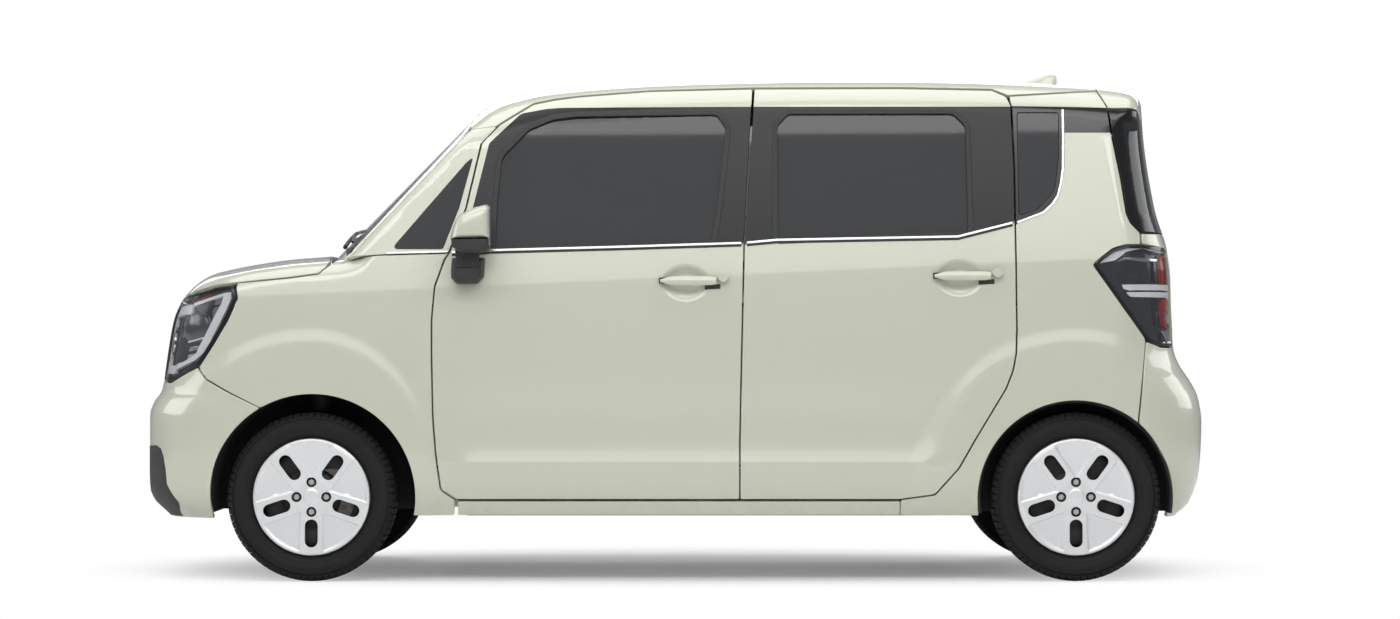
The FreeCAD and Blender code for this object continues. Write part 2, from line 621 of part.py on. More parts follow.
def wheel(x):
    """Rim barrel, dished disc and slotted cover."""
    y = -TRACK_HALF
    section = [(y - 69, 194), (y - 69, 186), (y - 60, 174), (y - 50, 165), (y + 58, 165), (y + 69, 178),
               (y + 69, 194), (y + 64, 194), (y + 64, 179.5), (y + 54, 172), (y - 54, 172), (y - 64, 179.5),
               (y - 64, 194)]
    rim = revolved(section, x, AXLE_Z)
    face = [(y - 56, 28), (y - 63, 44), (y - 66, 90), (y - 70, 150), (y - 74, 180), (y - 72, 192),
            (y - 67, 193), (y - 65, 180), (y - 56, 168), (y - 46, 150), (y - 45, 90), (y - 45, 28)]
    disc = revolved(face, x, AXLE_Z)
    cuts = []
    for i in range(SLOT_COUNT):
        slot = block(-SLOT_HALF, SLOT_HALF, -900, -600, SLOT_IN + SLOT_HALF, SLOT_OUT - SLOT_HALF)
        slot = slot.fuse([across(0, r, SLOT_HALF, -900, -600) for r in (SLOT_IN + SLOT_HALF, SLOT_OUT - SLOT_HALF)])
        slot.rotate(V(0, 0, 0), V(0, 1, 0), 180 + i * 360 / SLOT_COUNT)
        slot.translate(V(x, 0, AXLE_Z))
        cuts.append(slot)
    for i in range(4):
        a = math.radians(45 + 90 * i)
        cuts.append(across(x + 50 * math.cos(a), AXLE_Z + 50 * math.sin(a), 6.2, -900, -600))
    return rim.fuse(disc.cut(cuts))


KINGPIN_Y = -628.0
STRUT = ((FRONT_AXLE_X + 10, -560, 560), (FRONT_AXLE_X + 22, -520, 900))


def knuckle():
    """Hub, brake disc, caliper and the upright that carries them."""
    x = FRONT_AXLE_X
    hub = across(x, AXLE_Z, 27.5, -770, -700).fuse([across(x, AXLE_Z, 66, -748, -738),
                                                   across(x, AXLE_Z, 42, -740, -640)])
    disc = tube_ring(118, 40, -730, -719, x, AXLE_Z)
    upright = block(x - 38, x + 38, -700, -640, 190, 420)
    caliper = tube_ring(140, 96, -745, -700, x, AXLE_Z).common(block(x + 20, x + 160, -800, -600, 190, 370))
    steering_arm = rod((x + 30, -665, 240), (x + 118, -640, 240), 12)
    return hub.fuse([disc, upright, caliper, steering_arm])



def pad(x0, x1, y0, y1, z0, z1, soft):
    """A stuffed block with sides that draw in towards its top and bottom."""
    rings = []
    for z, inset in ((z0, soft), (z0 + soft * 0.6, 0.25 * soft), (0.5 * (z0 + z1), 0),
                     (z1 - soft * 0.6, 0.25 * soft), (z1, soft)):
        a, b, c, d = x0 + inset, x1 - inset, y0 + inset, y1 - inset
        corners = [V(a + soft, c, z), V(b - soft, c, z), V(b - 0.3 * soft, c + 0.3 * soft, z), V(b, c + soft, z),
                   V(b, d - soft, z), V(b - 0.3 * soft, d - 0.3 * soft, z), V(b - soft, d, z), V(a + soft, d, z),
                   V(a + 0.3 * soft, d - 0.3 * soft, z), V(a, d - soft, z), V(a, c + soft, z),
                   V(a + 0.3 * soft, c + 0.3 * soft, z)]
        rings.append(Part.makePolygon(corners + corners[:1]))
    return Part.makeLoft(rings, True, True)


def chair(x, y0, y1, z, lean, base_end):
    """Cushion, backrest and headrest on a low base, with the backrest leaning to the rear."""
    middle = 0.5 * (y0 + y1)
    back = pad(x + 405, x + 530, y0 + 12, y1 - 12, z + 90, z + 700, 36)
    rest = pad(x + 420, x + 515, middle - 125, middle + 125, z + 715, z + 880, 30)
    stems = [rod((x + 467, middle + dy, z + 660), (x + 467, middle + dy, z + 760), 7) for dy in (-60, 60)]
    upper = back.fuse([rest] + stems)
    upper.rotate(V(x + 450, 0, z + 90), V(0, 1, 0), math.degrees(lean))
    base = block(x + 70, base_end, y0 + 50, y1 - 50, FLOOR_TOP + 0.2, z + 40)
    return pad(x, x + 500, y0, y1, z, z + 150, 36).fuse([upper, base])


def build():
    door("door_front_left", front_door_rays, FRONT_DOOR, FRONT_WINDOW, -49, 966)
    door("door_rear_left", rear_door_rays, REAR_DOOR, REAR_WINDOW, 853, 996)
    side = body_side()
    nodes["body_side_left"] = side
    nodes["fender_left"] = skin(lower_form, fender_rays, 0, 20).common(prism(FENDER, -HALF_GAP)).cut(
        across(FRONT_AXLE_X + 4, 280, FRONT_ARCH_R, -1000, 0))
    for name in list(nodes):
        nodes[name.replace("left", "right")] = mirrored(nodes[name])

    lamp = skin(lower_form, nose_grid, 1, 70).common(prism(HEADLAMP, -2, -1000, HEADLAMP_INNER_Y))
    lamp_space = both(prism(HEADLAMP, 1.5, -1000, HEADLAMP_INNER_Y + 3))
    nodes["headlamps"] = both(lamp)
    nose = skin(lower_form, nose_grid, 0, 24).common(both_side_prism(NOSE_EDGE, -HALF_GAP))
    nose = nose.cut([lamp_space, across(FRONT_AXLE_X + 4, 280, FRONT_ARCH_R, -1000, 1000),
                     block(-1900, -1600, -420, 420, 300, 470)])
    nodes["front_bumper"] = nose
    nodes["lower_grille"] = skin(lower_form, nose_grid, 12, 24).common(block(-1900, -1600, -418, 418, 302, 468))
    bonnet = skin(lower_form, dome_rays(spread(-1560, -1110, 11), (66, 54, 42, 30, 18, 8), -1570, 600,
                                        (72, 62, 52, 42, 31, 20, 9), 880), 0, 18)
    nodes["bonnet"] = bonnet.common(both_side_prism(BONNET_EDGE, -HALF_GAP)).common(plan_region(-1188, -1900))
    rear_lamp = skin(flank_form, tail_grid, 1, 66).common(prism(TAIL_LAMP, -1, -1000, TAIL_LAMP_INNER_Y))
    rear_lamp_space = both(prism(TAIL_LAMP, 2.5, -1000, TAIL_LAMP_INNER_Y + 5.5))
    nodes["tail_lamps"] = both(rear_lamp)
    bumper = skin(lower_form, bumper_grid, 0, 24).common(both_side_prism(REAR_BUMPER_EDGE, -HALF_GAP))
    nodes["rear_bumper"] = bumper.cut([across(REAR_AXLE_X - 2, 275, REAR_ARCH_R, -1000, 1000),
                                       rear_lamp_space])
    gate = skin(flank_form, gate_rays(), 0, 40).common(both_side_prism(TAILGATE_EDGE, -HALF_GAP))
    window = Part.makePolygon([V(0, -640, 1160), V(0, 640, 1160), V(0, 600, 1540), V(0, -600, 1540),
                               V(0, -640, 1160)])
    window = Part.Face(window).extrude(V(3000, 0, 0))
    nodes["tailgate"] = gate.cut([window, rear_lamp_space])
    nodes["tailgate_glass"] = skin(flank_form, tail_grid, 8, 13).common(window)
    nodes["roof"] = roof_panel()
    nodes["windscreen_pillars"] = both(windscreen_pillar())

    screen = skin(cabin_form, screen_rays, 0, GLASS_T)
    edge = Part.makePolygon([V(-2000, -736, 1086), V(-2000, 736, 1086), V(-2000, 650, 1700), V(-2000, -650, 1700),
                             V(-2000, -736, 1086)])
    nodes["windscreen"] = screen.common(Part.Face(edge).extrude(V(1900, 0, 0))).cut(roof_band(-1.5))
    front_glass = skin(flank_form, pillar_rays, 2, 6.5).common(prism(FRONT_QUARTER, -1))
    rear_glass = skin(flank_form, quarter_rays, 0.5, 5).common(prism(REAR_QUARTER, -1.5))
    nodes["quarter_glass"] = Part.makeCompound([front_glass, mirrored(front_glass), rear_glass,
                                                mirrored(rear_glass)])
    arc = Part.Arc(V(-1300, -664, 1050), V(-1300, 0, 1081), V(-1300, 664, 1050)).toShape()
    lower = Part.makePolygon([V(-1300, 664, 1050), V(-1300, 664, 1018), V(-1300, -664, 1018),
                              V(-1300, -664, 1050)])
    cowl = Part.Face(Part.Wire([arc] + lower.Edges)).extrude(V(400, 0, 0)).common(plan_region(-1180, -1090))
    nodes["cowl"] = cowl.cut(skin(cabin_form, screen_rays, GLASS_T + 1, -60))
    nodes["floor_pan"] = fused(block(-836, 900, -650, 650, 326, 344), block(-836, -820, -640, 640, 326, 1010),
                               block(900, 918, -590, 590, 326, 500), block(918, 1600, -590, 590, 482, 500))
    nodes["battery_pack"] = block(-700, 860, -520, 520, 206, 326)
    nodes["drive_unit"] = block(-1420, -1000, -330, 330, 260, 860)
    board = Part.makePolygon([V(x, -640, z) for x, z in DASH_SECTION + DASH_SECTION[:1]])
    nodes["dashboard"] = Part.Face(board).extrude(V(0, 1280, 0))
    nodes["front_seats"] = both(chair(-290, -560, -80, 420, 0.16, 110))
    nodes["rear_bench"] = both(chair(690, -560, -6, 504, 0.26, 890))
    liner_front = tube_ring(FRONT_ARCH_R + 8, FRONT_ARCH_R, -712, -440, FRONT_AXLE_X + 4, 280)
    liner_front = liner_front.common(block(-1600, -800, -800, -400, 225, 700)).cut(rod(*STRUT, 52))
    liner_rear = tube_ring(REAR_ARCH_R, REAR_ARCH_R - 8, -765, -590, REAR_AXLE_X - 2, 275)
    liner_rear = liner_rear.common(block(900, 1700, -800, -400, 225, 700))
    nodes["arch_liners"] = Part.makeCompound([liner_front, mirrored(liner_front), liner_rear,
                                              mirrored(liner_rear)])
    nodes["rear_axle"] = fused(block(1000, 1400, -480, 480, 230, 330), across(REAR_AXLE_X, AXLE_Z, 40, -640, 640),
                               across(REAR_AXLE_X, AXLE_Z, 27.5, -770, 770),
                               across(REAR_AXLE_X, AXLE_Z, 66, -748, -738),
                               across(REAR_AXLE_X, AXLE_Z, 66, 738, 748),
                               tube_ring(110, 20, -736, -700, REAR_AXLE_X, AXLE_Z),
                               tube_ring(110, 20, 700, 736, REAR_AXLE_X, AXLE_Z))
    beam = block(-1330, -1030, -300, 300, 212, 252)
    arms = [rod((FRONT_AXLE_X + dx, -290, 236), (FRONT_AXLE_X, -592, 214), 15) for dx in (-110, 110)]
    nodes["front_subframe"] = beam.fuse(arms + [mirrored(arm) for arm in arms])
    nodes["front_struts"] = both(rod(*STRUT, 44))

    cap = prism([(-742, 1104, 12), (-740, 1152), (-727, 1193, 30), (-693, 1219), (-655, 1240, 20), (-610, 1246, 14),
                 (-604, 1214), (-606, 1104, 12)], 0, -962, -818)
    cap = cap.makeFillet(16, [e for e in cap.Edges if abs(e.BoundBox.YMin - e.BoundBox.YMax) < 0.1])
    stem = prism([(-736, 1030, 8), (-739, 1000, 14), (-718, 976, 12), (-650, 978, 12), (-632, 1002), (-632, 1040),
                  (-640, 1106), (-730, 1106)], 0, -878, -838)
    foot = prism([(-736, 1030, 8), (-738, 1000, 14), (-718, 976, 12), (-650, 978, 12), (-632, 1002), (-634, 1052, 8)],
                 0, -840, -785)
    mirror = cap.fuse([stem, foot])
    nodes["mirror_left"] = mirror
    nodes["mirror_right"] = mirrored(mirror)
    ring = [V(178 + 14 * math.cos(math.radians(a)), 0, 14 * math.sin(math.radians(a))) for a in range(0, 360, 40)]
    ring = Part.Face(Part.makePolygon(ring + ring[:1])).revolve(V(0, 0, 0), V(0, 0, 1), 360)
    hub = Part.makeCylinder(55, 60, V(0, 0, -60))
    spoke = block(-172, 172, -18, 18, -34, -4)
    column = Part.makeCylinder(22, 100, V(0, 0, -130))
    steering = ring.fuse([hub, spoke, column])
    steering.rotate(V(0, 0, 0), V(0, 1, 0), 62)
    steering.translate(V(-480, 345, 960))
    nodes["steering_wheel"] = steering
    nodes["knuckle_front_left"] = knuckle()
    nodes["knuckle_front_right"] = mirrored(knuckle())
    for end, x in (("front", FRONT_AXLE_X), ("rear", REAR_AXLE_X)):
        for side_name, flip in (("left", False), ("right", True)):
            for kind, shape in (("tyre", tyre(x)), ("wheel", wheel(x))):
                nodes[kind + "_" + end + "_" + side_name] = mirrored(shape) if flip else shape


build()
os.makedirs("parts", exist_ok=True)
for node, shape in nodes.items():
    shape.exportStep("parts/" + node + ".step")
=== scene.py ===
"""A tall light city car: body panels, glass, lamps, wheels and cabin, dressed over the jointed frame."""

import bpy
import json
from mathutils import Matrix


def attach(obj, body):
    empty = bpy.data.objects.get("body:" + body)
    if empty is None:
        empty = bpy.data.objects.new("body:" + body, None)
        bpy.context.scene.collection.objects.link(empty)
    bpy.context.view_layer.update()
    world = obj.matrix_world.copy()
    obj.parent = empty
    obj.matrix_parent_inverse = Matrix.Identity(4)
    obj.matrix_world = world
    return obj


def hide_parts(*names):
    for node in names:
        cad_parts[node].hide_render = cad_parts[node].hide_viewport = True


bl_info = {
    "name": "Tall Light City Car",
    "version": (1, 0, 0),
    "blender": (4, 5, 0),
    "location": "3D View > Sidebar > City Car",
    "description": "Builds a tall five-door light city car over its jointed frame",
    "category": "Add Mesh",
}

import json
import math

import bmesh
import bpy
import numpy as np
from mathutils import Matrix, Vector, geometry

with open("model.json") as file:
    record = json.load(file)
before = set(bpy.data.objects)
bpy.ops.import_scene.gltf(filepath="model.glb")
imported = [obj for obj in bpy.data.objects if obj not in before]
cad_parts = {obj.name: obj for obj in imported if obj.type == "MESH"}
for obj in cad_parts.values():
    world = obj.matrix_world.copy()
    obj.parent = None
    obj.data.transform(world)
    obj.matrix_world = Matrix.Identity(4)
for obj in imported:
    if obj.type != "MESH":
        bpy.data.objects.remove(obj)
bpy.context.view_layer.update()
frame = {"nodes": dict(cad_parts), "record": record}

# The body's form, in millimetres
MM = 0.001
HALF_WIDTH = 797.5
FRONT_AXLE_X = -1198.0
REAR_AXLE_X = 1322.0
AXLE_Z = 278.0
TRACK_HALF = 703.0
TYRE_R = 278.0
TREAD_PITCHES = 72
FRONT_ARCH_X, FRONT_ARCH_Z, FRONT_ARCH_R = -1194.0, 280.0, 338.0
REAR_ARCH_X, REAR_ARCH_Z, REAR_ARCH_R = 1320.0, 275.0, 322.0
SCREEN_FOOT_X, SCREEN_FOOT_Z = -1160.0, 1080.0
SCREEN_SLOPE = 0.981
SCREEN_BOW = 84.0
COWL_BOW = 50.0
NOSE_BOW = 45.0
TAIL_BOW = 42.0
BONNET_CROWN = 30.0
ROOF_CROWN = 42.0
WAIST_Y = 788.0
LOWER_CREASE_Z = 394.0
SILL_TUCK = 0.27
DOORS_START_X, DOORS_END_X, DOOR_FADE = -830, 840, 190
HOLLOW_DEPTH, HOLLOW_HEIGHT = 15.5, 112
SHOULDER_Z, SHOULDER_RISE = 1000, 0.0447
SHOULDER_LEAN, GLASS_LEAN = 0.17, 0.04
ARCH_SWELL = 17
FRONT_SWELL_REACH = (520, 415, 520)
REAR_SWELL_REACH = (520, 470, 520)
BOW_Y, CROWN_Y, ROOF_CROWN_Y = 600, 720, 640
BONNET_EDGE_R, ROOF_EDGE_R, SCREEN_EDGE_R = 58, 88, 24
SCREEN_OUT = (-0.714, 0.0, 0.7)
SCREEN_UP = (0.7, 0.0, 0.714)
HANDLE_BOWLS = ((36.0, 983.5), (938.0, 999.5))
BOWL_HALF = (84.0, 65.0)
BOWL_DEPTH = 19.0
BOWL_RINGS = (0.3, 0.42, 0.5, 0.58, 0.66, 0.74, 0.82, 0.9, 1.0)
HALF_GAP = 2.4
NOSE_X = [(180, -1700), (222, -1738), (262, -1780), (300, -1795), (360, -1797.5), (545, -1797.5),
          (592, -1781), (625, -1757), (700, -1746), (812, -1729), (868, -1717), (925, -1692), (1010, -1640),
          (1110, -1560)]
TAIL_X = [(180, 1690), (217, 1716), (244, 1749), (290, 1771), (340, 1786), (437, 1795), (519, 1797.5),
          (600, 1786), (660, 1757), (712, 1722), (760, 1704), (830, 1697), (1000, 1693), (1101, 1686),
          (1234, 1648), (1464, 1610), (1560, 1602), (1610, 1598), (1660, 1582), (1720, 1556)]
ROOF_Z = [(-760, 1548), (-690, 1586), (-640, 1608), (-590, 1625), (-515, 1642), (-413, 1656), (-259, 1669),
          (-105, 1677), (253, 1688), (509, 1692), (662, 1692), (970, 1688), (1277, 1677), (1379, 1671),
          (1452, 1664), (1520, 1652), (1580, 1632), (1640, 1600)]
BONNET_Z = [(-1760, 950), (-1690, 985), (-1627, 1012), (-1522, 1040), (-1417, 1060), (-1313, 1074),
            (-1208, 1082), (-1150, 1088), (-1095, 1106), (-1045, 1160), (-985, 1300), (-900, 1520)]


def mono(points):
    """A smooth function through (place, value) points that never overshoots between them."""
    xs = np.array([p[0] for p in points], float)
    ys = np.array([p[1] for p in points], float)
    slopes = np.diff(ys) / np.diff(xs)
    left, right = slopes[:-1], slopes[1:]
    total = np.where(left + right == 0, 1.0, left + right)
    inner = np.where(left * right <= 0, 0.0, 2 * left * right / total)
    tangents = np.concatenate([slopes[:1], inner, slopes[-1:]])

    def value(x):
        x = np.asarray(x, float)
        i = np.clip(np.searchsorted(xs, x) - 1, 0, len(xs) - 2)
        h = xs[i + 1] - xs[i]
        t = np.clip((x - xs[i]) / h, 0.0, 1.0)
        curve = (ys[i] * (1 + 2 * t) * (1 - t) ** 2 + tangents[i] * h * t * (1 - t) ** 2
                 + ys[i + 1] * t * t * (3 - 2 * t) + tangents[i + 1] * h * t * t * (t - 1))
        return curve + tangents[0] * np.minimum(x - xs[0], 0) + tangents[-1] * np.maximum(x - xs[-1], 0)

    return value


nose_x = mono(NOSE_X)
tail_x = mono(TAIL_X)
roof_z = mono(ROOF_Z)
bonnet_z = mono(BONNET_Z)


def ramp(t, radius):
    return 0.5 * (t + np.sqrt(t * t + radius * radius))


def step(t):
    t = np.clip(t, 0.0, 1.0)
    return t * t * (3 - 2 * t)


def rounded(a, b, radius):
    """Two outward distances met with a rounded edge of that radius."""
    corner = np.hypot(np.maximum(a + radius, 0), np.maximum(b + radius, 0)) - radius
    return np.where((a > -radius) & (b > -radius), corner, np.maximum(a, b))


def arch_swell(x, z, axle_x, reach_front, reach_rear, height):
    dx = x - axle_x
    reach = np.where(dx < 0, reach_front, reach_rear)
    return step((1.09 - np.hypot(dx / reach, np.maximum(z - AXLE_Z, 0.0) / height)) / 0.17)


def flank(x, z):
    """Half the body's width at a place on its side, before the corners are rounded."""
    door = step((x - DOORS_START_X) / DOOR_FADE) * (1 - step((x - DOORS_END_X) / DOOR_FADE))
    y = WAIST_Y - SILL_TUCK * ramp(LOWER_CREASE_Z - z, 6 + 80 * (1 - door))
    hollow = np.maximum(z - LOWER_CREASE_Z, 0.0) / HOLLOW_HEIGHT
    y = y - door * HOLLOW_DEPTH * hollow * np.exp(1 - hollow)
    shoulder = SHOULDER_Z + SHOULDER_RISE * x
    y = y - SHOULDER_LEAN * ramp(z - shoulder, 9) - GLASS_LEAN * ramp(z - shoulder - 90, 40)
    y = y + ARCH_SWELL * np.maximum(arch_swell(x, z, FRONT_AXLE_X, *FRONT_SWELL_REACH),
                                    arch_swell(x, z, REAR_AXLE_X, *REAR_SWELL_REACH))
    for centre_x, centre_z in HANDLE_BOWLS:
        away = np.hypot((x - centre_x) / BOWL_HALF[0], (z - centre_z) / BOWL_HALF[1])
        y = y - BOWL_DEPTH * (1 - step((away - 0.42) / 0.58))
    limit = HALF_WIDTH - 0.5
    return 0.5 * (y + limit - np.sqrt((y - limit) ** 2 + 9))


def corner_radius(z):
    return 205 - 85 * step((z - 700) / 500) - 88 * step((z - 1470) / 110)


def lower_form(p):
    """Outward distance from the body below the belt: flank, nose, tail and bonnet."""
    x, y, z = p[..., 0], p[..., 1], p[..., 2]
    side = np.abs(y) - flank(x, z)
    nose = nose_x(z) + NOSE_BOW * (y / BOW_Y) ** 2 - x
    tail = x - tail_x(z) + TAIL_BOW * (y / BOW_Y) ** 2
    top = z - bonnet_z(x - COWL_BOW * (y / CROWN_Y) ** 2) + BONNET_CROWN * (y / CROWN_Y) ** 2
    return rounded(rounded(side, np.maximum(nose, tail), corner_radius(z)), top, BONNET_EDGE_R)


def screen_x(y, z):
    return SCREEN_FOOT_X + (z - SCREEN_FOOT_Z) * SCREEN_SLOPE + SCREEN_BOW * (np.abs(y) / CROWN_Y) ** 2.2


def under_roof(p, side, roof_x):
    """A side met with the roof, whose height is taken at roof_x, and with the tail."""
    x, y, z = p[..., 0], p[..., 1], p[..., 2]
    tail = x - tail_x(z) + TAIL_BOW * (1 + 0.3 * step((z - 1000) / 150)) * (y / BOW_Y) ** 2
    roof = z - roof_z(np.maximum(roof_x, -720)) + ROOF_CROWN * (y / ROOF_CROWN_Y) ** 2
    return rounded(rounded(side, roof, ROOF_EDGE_R), tail, corner_radius(z))


def flank_form(p):
    """The body's side with the roof and the tail, without the windscreen."""
    x, y, z = p[..., 0], p[..., 1], p[..., 2]
    side = np.abs(y) - flank(x, z)
    fade = 1 - step((x + 560) / 700)
    return under_roof(p, side, x - SCREEN_BOW * fade * (np.abs(y) / CROWN_Y) ** 2.2)


def frame_form(p):
    """The plain inner frame behind the doors, which leaves out the wheel-arch swell."""
    x, y, z = p[..., 0], p[..., 1], p[..., 2]
    side = np.abs(y) - flank(0 * x, z)
    return under_roof(p, side, x)


def cabin_form(p):
    """The cabin with its windscreen."""
    return rounded(flank_form(p), (screen_x(p[..., 1], p[..., 2]) - p[..., 0]) * SCREEN_UP[2], SCREEN_EDGE_R)


def hit(form, start, direction, reach=620.0):
    """Where rays from inside the form leave it: halving first, then false position with a damped end."""
    near = np.zeros(len(start))
    far = np.full(len(start), reach)
    low = np.minimum(form(start), -1e-6)
    high = np.full(len(start), reach)
    for turn in range(11):
        share = 0.5 if turn < 4 else low / (low - high)
        middle = near + (far - near) * share
        value = form(start + direction * middle[:, None])
        outside = value > 0
        far, near = np.where(outside, middle, far), np.where(outside, near, middle)
        high = np.where(outside, np.maximum(value, 1e-6), high * (0.5 if turn > 4 else 1.0))
        low = np.where(outside, low * (0.5 if turn > 4 else 1.0), np.minimum(value, -1e-6))
    return start + direction * (near + (far - near) * low / (low - high))[:, None]


def facing(form, p):
    """The form's outward direction at each point."""
    h = 0.5
    n = np.stack([form(p + np.eye(3)[i] * h) - form(p - np.eye(3)[i] * h) for i in range(3)], axis=-1)
    return n / np.linalg.norm(n, axis=-1, keepdims=True)


class Chart:
    """A stretch of the body's skin with its own two coordinates, in millimetres along it."""

    def __init__(self, form, ray, u_range, v_range):
        self.form = form
        self.ray = ray
        self.u_range = u_range
        self.v_range = v_range
        grid_u, grid_v = np.meshgrid(np.linspace(*u_range, 60), np.linspace(*v_range, 60))
        self.seed_uv = np.stack([grid_u.ravel(), grid_v.ravel()], axis=-1)
        self.seed = self.at(self.seed_uv)
        left = self.seed[:, 1] < 1
        self.seed_uv, self.seed = self.seed_uv[left], self.seed[left]

    def at(self, uv):
        start, direction = self.ray(uv[:, 0], uv[:, 1])
        return hit(self.form, start, direction)

    def normal(self, uv, points):
        return facing(self.form, points)

    def locate(self, points, axes=(0, 2)):
        """Chart places on the car's left of points given in the side view, along other axes or in space."""
        target = np.array(points, float)
        seed = self.seed[:, axes]
        nearest = np.argmin(((seed[None] - target[:, None]) ** 2).sum(-1), axis=1)
        uv = self.seed_uv[nearest].copy()
        low = np.array([self.u_range[0], self.v_range[0]]) - 5
        high = np.array([self.u_range[1], self.v_range[1]]) + 5
        for _ in range(12):
            here = self.at(uv)[:, axes]
            du = (self.at(uv + [0.5, 0])[:, axes] - here) / 0.5
            dv = (self.at(uv + [0, 0.5])[:, axes] - here) / 0.5
            gap = target - here
            uu, vv, mixed = (du * du).sum(-1) + 1e-4, (dv * dv).sum(-1) + 1e-4, (du * dv).sum(-1)
            gu, gv = (gap * du).sum(-1), (gap * dv).sum(-1)
            det = np.maximum(uu * vv - mixed * mixed, 1e-5)
            move = np.stack([(gu * vv - gv * mixed) / det, (gv * uu - gu * mixed) / det], axis=-1)
            uv = np.clip(uv + np.clip(move, -60, 60), low, high)
        return uv


def unit(x, y, z):
    v = np.stack(np.broadcast_arrays(x, y, z), axis=-1).astype(float)
    return v / np.linalg.norm(v, axis=-1, keepdims=True)


def side_ray(u, v):
    """u along the car, v up the flank and then over the roof's edge."""
    lift = np.maximum(v - 1400, 0) / 330
    start = np.stack([u, np.full_like(u, -300.0), np.minimum(v, 1400)], axis=-1)
    return start, unit(0 * u, -np.cos(lift), np.sin(lift))


def fender_ray(u, v):
    """u along the fender, v up it and over its shoulder."""
    lift = np.maximum(v - 880, 0) / 230
    return np.stack([u, -560 + 0 * u, np.minimum(v, 880)], axis=-1), unit(0 * u, -np.cos(lift), np.sin(lift))


def end_ray(centre_x, centre_y, ahead, top, reach):
    """Rays round one end of the car: u from the left flank round to the right, v up and over the top."""
    corner = math.pi / 2 * reach

    def ray(u, v):
        side = np.sign(u)
        a = np.abs(u)
        turn = np.clip((a - centre_y) / reach, 0, math.pi / 2)
        back = np.maximum(a - centre_y - corner, 0)
        lift = np.maximum(v - top, 0) / reach
        x = centre_x - ahead * back
        y = side * np.minimum(a, centre_y)
        start = np.stack([x, y, np.minimum(v, top)], axis=-1)
        flat = np.cos(lift)
        return start, unit(ahead * np.cos(turn) * flat, side * np.sin(turn) * flat, np.sin(lift))

    return ray


def bonnet_ray(u, v):
    """u along the bonnet and v across it, fanned forwards over the nose and outwards over the sides."""
    lean = np.clip((-1570 - u) / 150, 0, 1.3)
    roll = np.clip((np.abs(v) - 600) / 180, 0, 1.4)
    start = np.stack([np.maximum(u, -1570), np.clip(v, -600, 600), np.full_like(u, 880.0)], axis=-1)
    return start, unit(-np.sin(lean) * np.cos(roll * 0.6), np.sign(v) * np.sin(roll),
                       np.cos(lean) * np.cos(roll))


def pillar_ray(u, v):
    """u up the left windscreen pillar, v round it from the door's side to the screen's."""
    along = np.array(SCREEN_UP)
    screen_out = np.array(SCREEN_OUT)
    turn = np.clip(v / 100, 0, math.pi / 2)
    inboard = np.maximum(v - 157, 0)
    start = (np.array([-1104.0, -600.0, 1080.0]) - 100 * screen_out + u[:, None] * along
             + np.minimum(v, 0)[:, None] * screen_out + inboard[:, None] * np.array([0.0, 1.0, 0.0]))
    return start, np.cos(turn)[:, None] * np.array([0.0, -1.0, 0.0]) + np.sin(turn)[:, None] * screen_out


def roof_ray(u, v):
    """u along the car, v across the roof and down over its edges."""
    side = np.sign(v)
    a = np.abs(v)
    roll = np.maximum(a - 300, 0) / 330
    start = np.stack([u, side * np.minimum(a, 300), np.full_like(u, 1330.0)], axis=-1)
    return start, unit(0 * u, side * np.sin(roll), np.cos(roll))


def screen_ray(u, v):
    """u across the windscreen, v its height."""
    start = np.stack([screen_x(0 * u, v) + 157, u, v - 154], axis=-1)
    return start, unit(SCREEN_OUT[0] + 0 * u, 0 * u, SCREEN_OUT[2] + 0 * u)


def make_charts():
    return {
        "side": Chart(flank_form, side_ray, (-1130, 1570), (205, 1800)),
        "fender": Chart(lower_form, fender_ray, (-1600, -700), (205, 1140)),
        "nose": Chart(lower_form, end_ray(-1470, 430, -1, 2000, 330), (-1140, 1140), (205, 990)),
        "tail": Chart(flank_form, end_ray(1345, 430, 1, 1480, 380), (-1100, 1100), (205, 1940)),
        "bonnet": Chart(lower_form, bonnet_ray, (-1760, -1090), (-830, 830)),
        "pillar": Chart(cabin_form, pillar_ray, (-70, 760), (-330, 190)),
        "frame": Chart(frame_form, side_ray, (-830, 1570), (205, 1600)),
        "roof": Chart(cabin_form, roof_ray, (-700, 1410), (-720, 720)),
        "screen": Chart(cabin_form, screen_ray, (-745, 745), (1070, 1600)),
    }


class Field:
    """A nearly flat face across the car, given by how far out it stands at each place."""

    def __init__(self, centre, height):
        self.centre = np.array(centre, float)
        self.height = height

    def at(self, uv):
        y = self.height(uv[:, 0], uv[:, 1])
        return np.stack([self.centre[0] + uv[:, 0], self.centre[1] - y, self.centre[2] + uv[:, 1]], axis=-1)

    def normal(self, uv, points):
        du = self.at(uv + [0.4, 0]) - self.at(uv - [0.4, 0])
        dv = self.at(uv + [0, 0.4]) - self.at(uv - [0, 0.4])
        n = np.cross(du, dv)
        return n / np.linalg.norm(n, axis=-1, keepdims=True)


def rounded_loop(points, spacing=7.0):
    """A closed outline of (a, b) or (a, b, radius) corners as evenly spaced points."""
    points = [tuple(p) + (0,) * (3 - len(p)) for p in points]
    out = []
    for i, (a, b, radius) in enumerate(points):
        here = Vector((a, b))
        if not radius:
            out.append(here)
            continue
        back = Vector(points[i - 1][:2]) - here
        on = Vector(points[(i + 1) % len(points)][:2]) - here
        half = 0.5 * back.angle(on)
        reach = min(radius / math.tan(half), 0.49 * back.length, 0.49 * on.length)
        start = here + back.normalized() * reach
        end = here + on.normalized() * reach
        turns = max(4, int(reach / 3))
        for k in range(turns + 1):
            t = k / turns
            out.append(start * (1 - t) ** 2 + here * 2 * t * (1 - t) + end * t * t)
    return forward(resample(np.array([tuple(p) for p in out]), spacing))


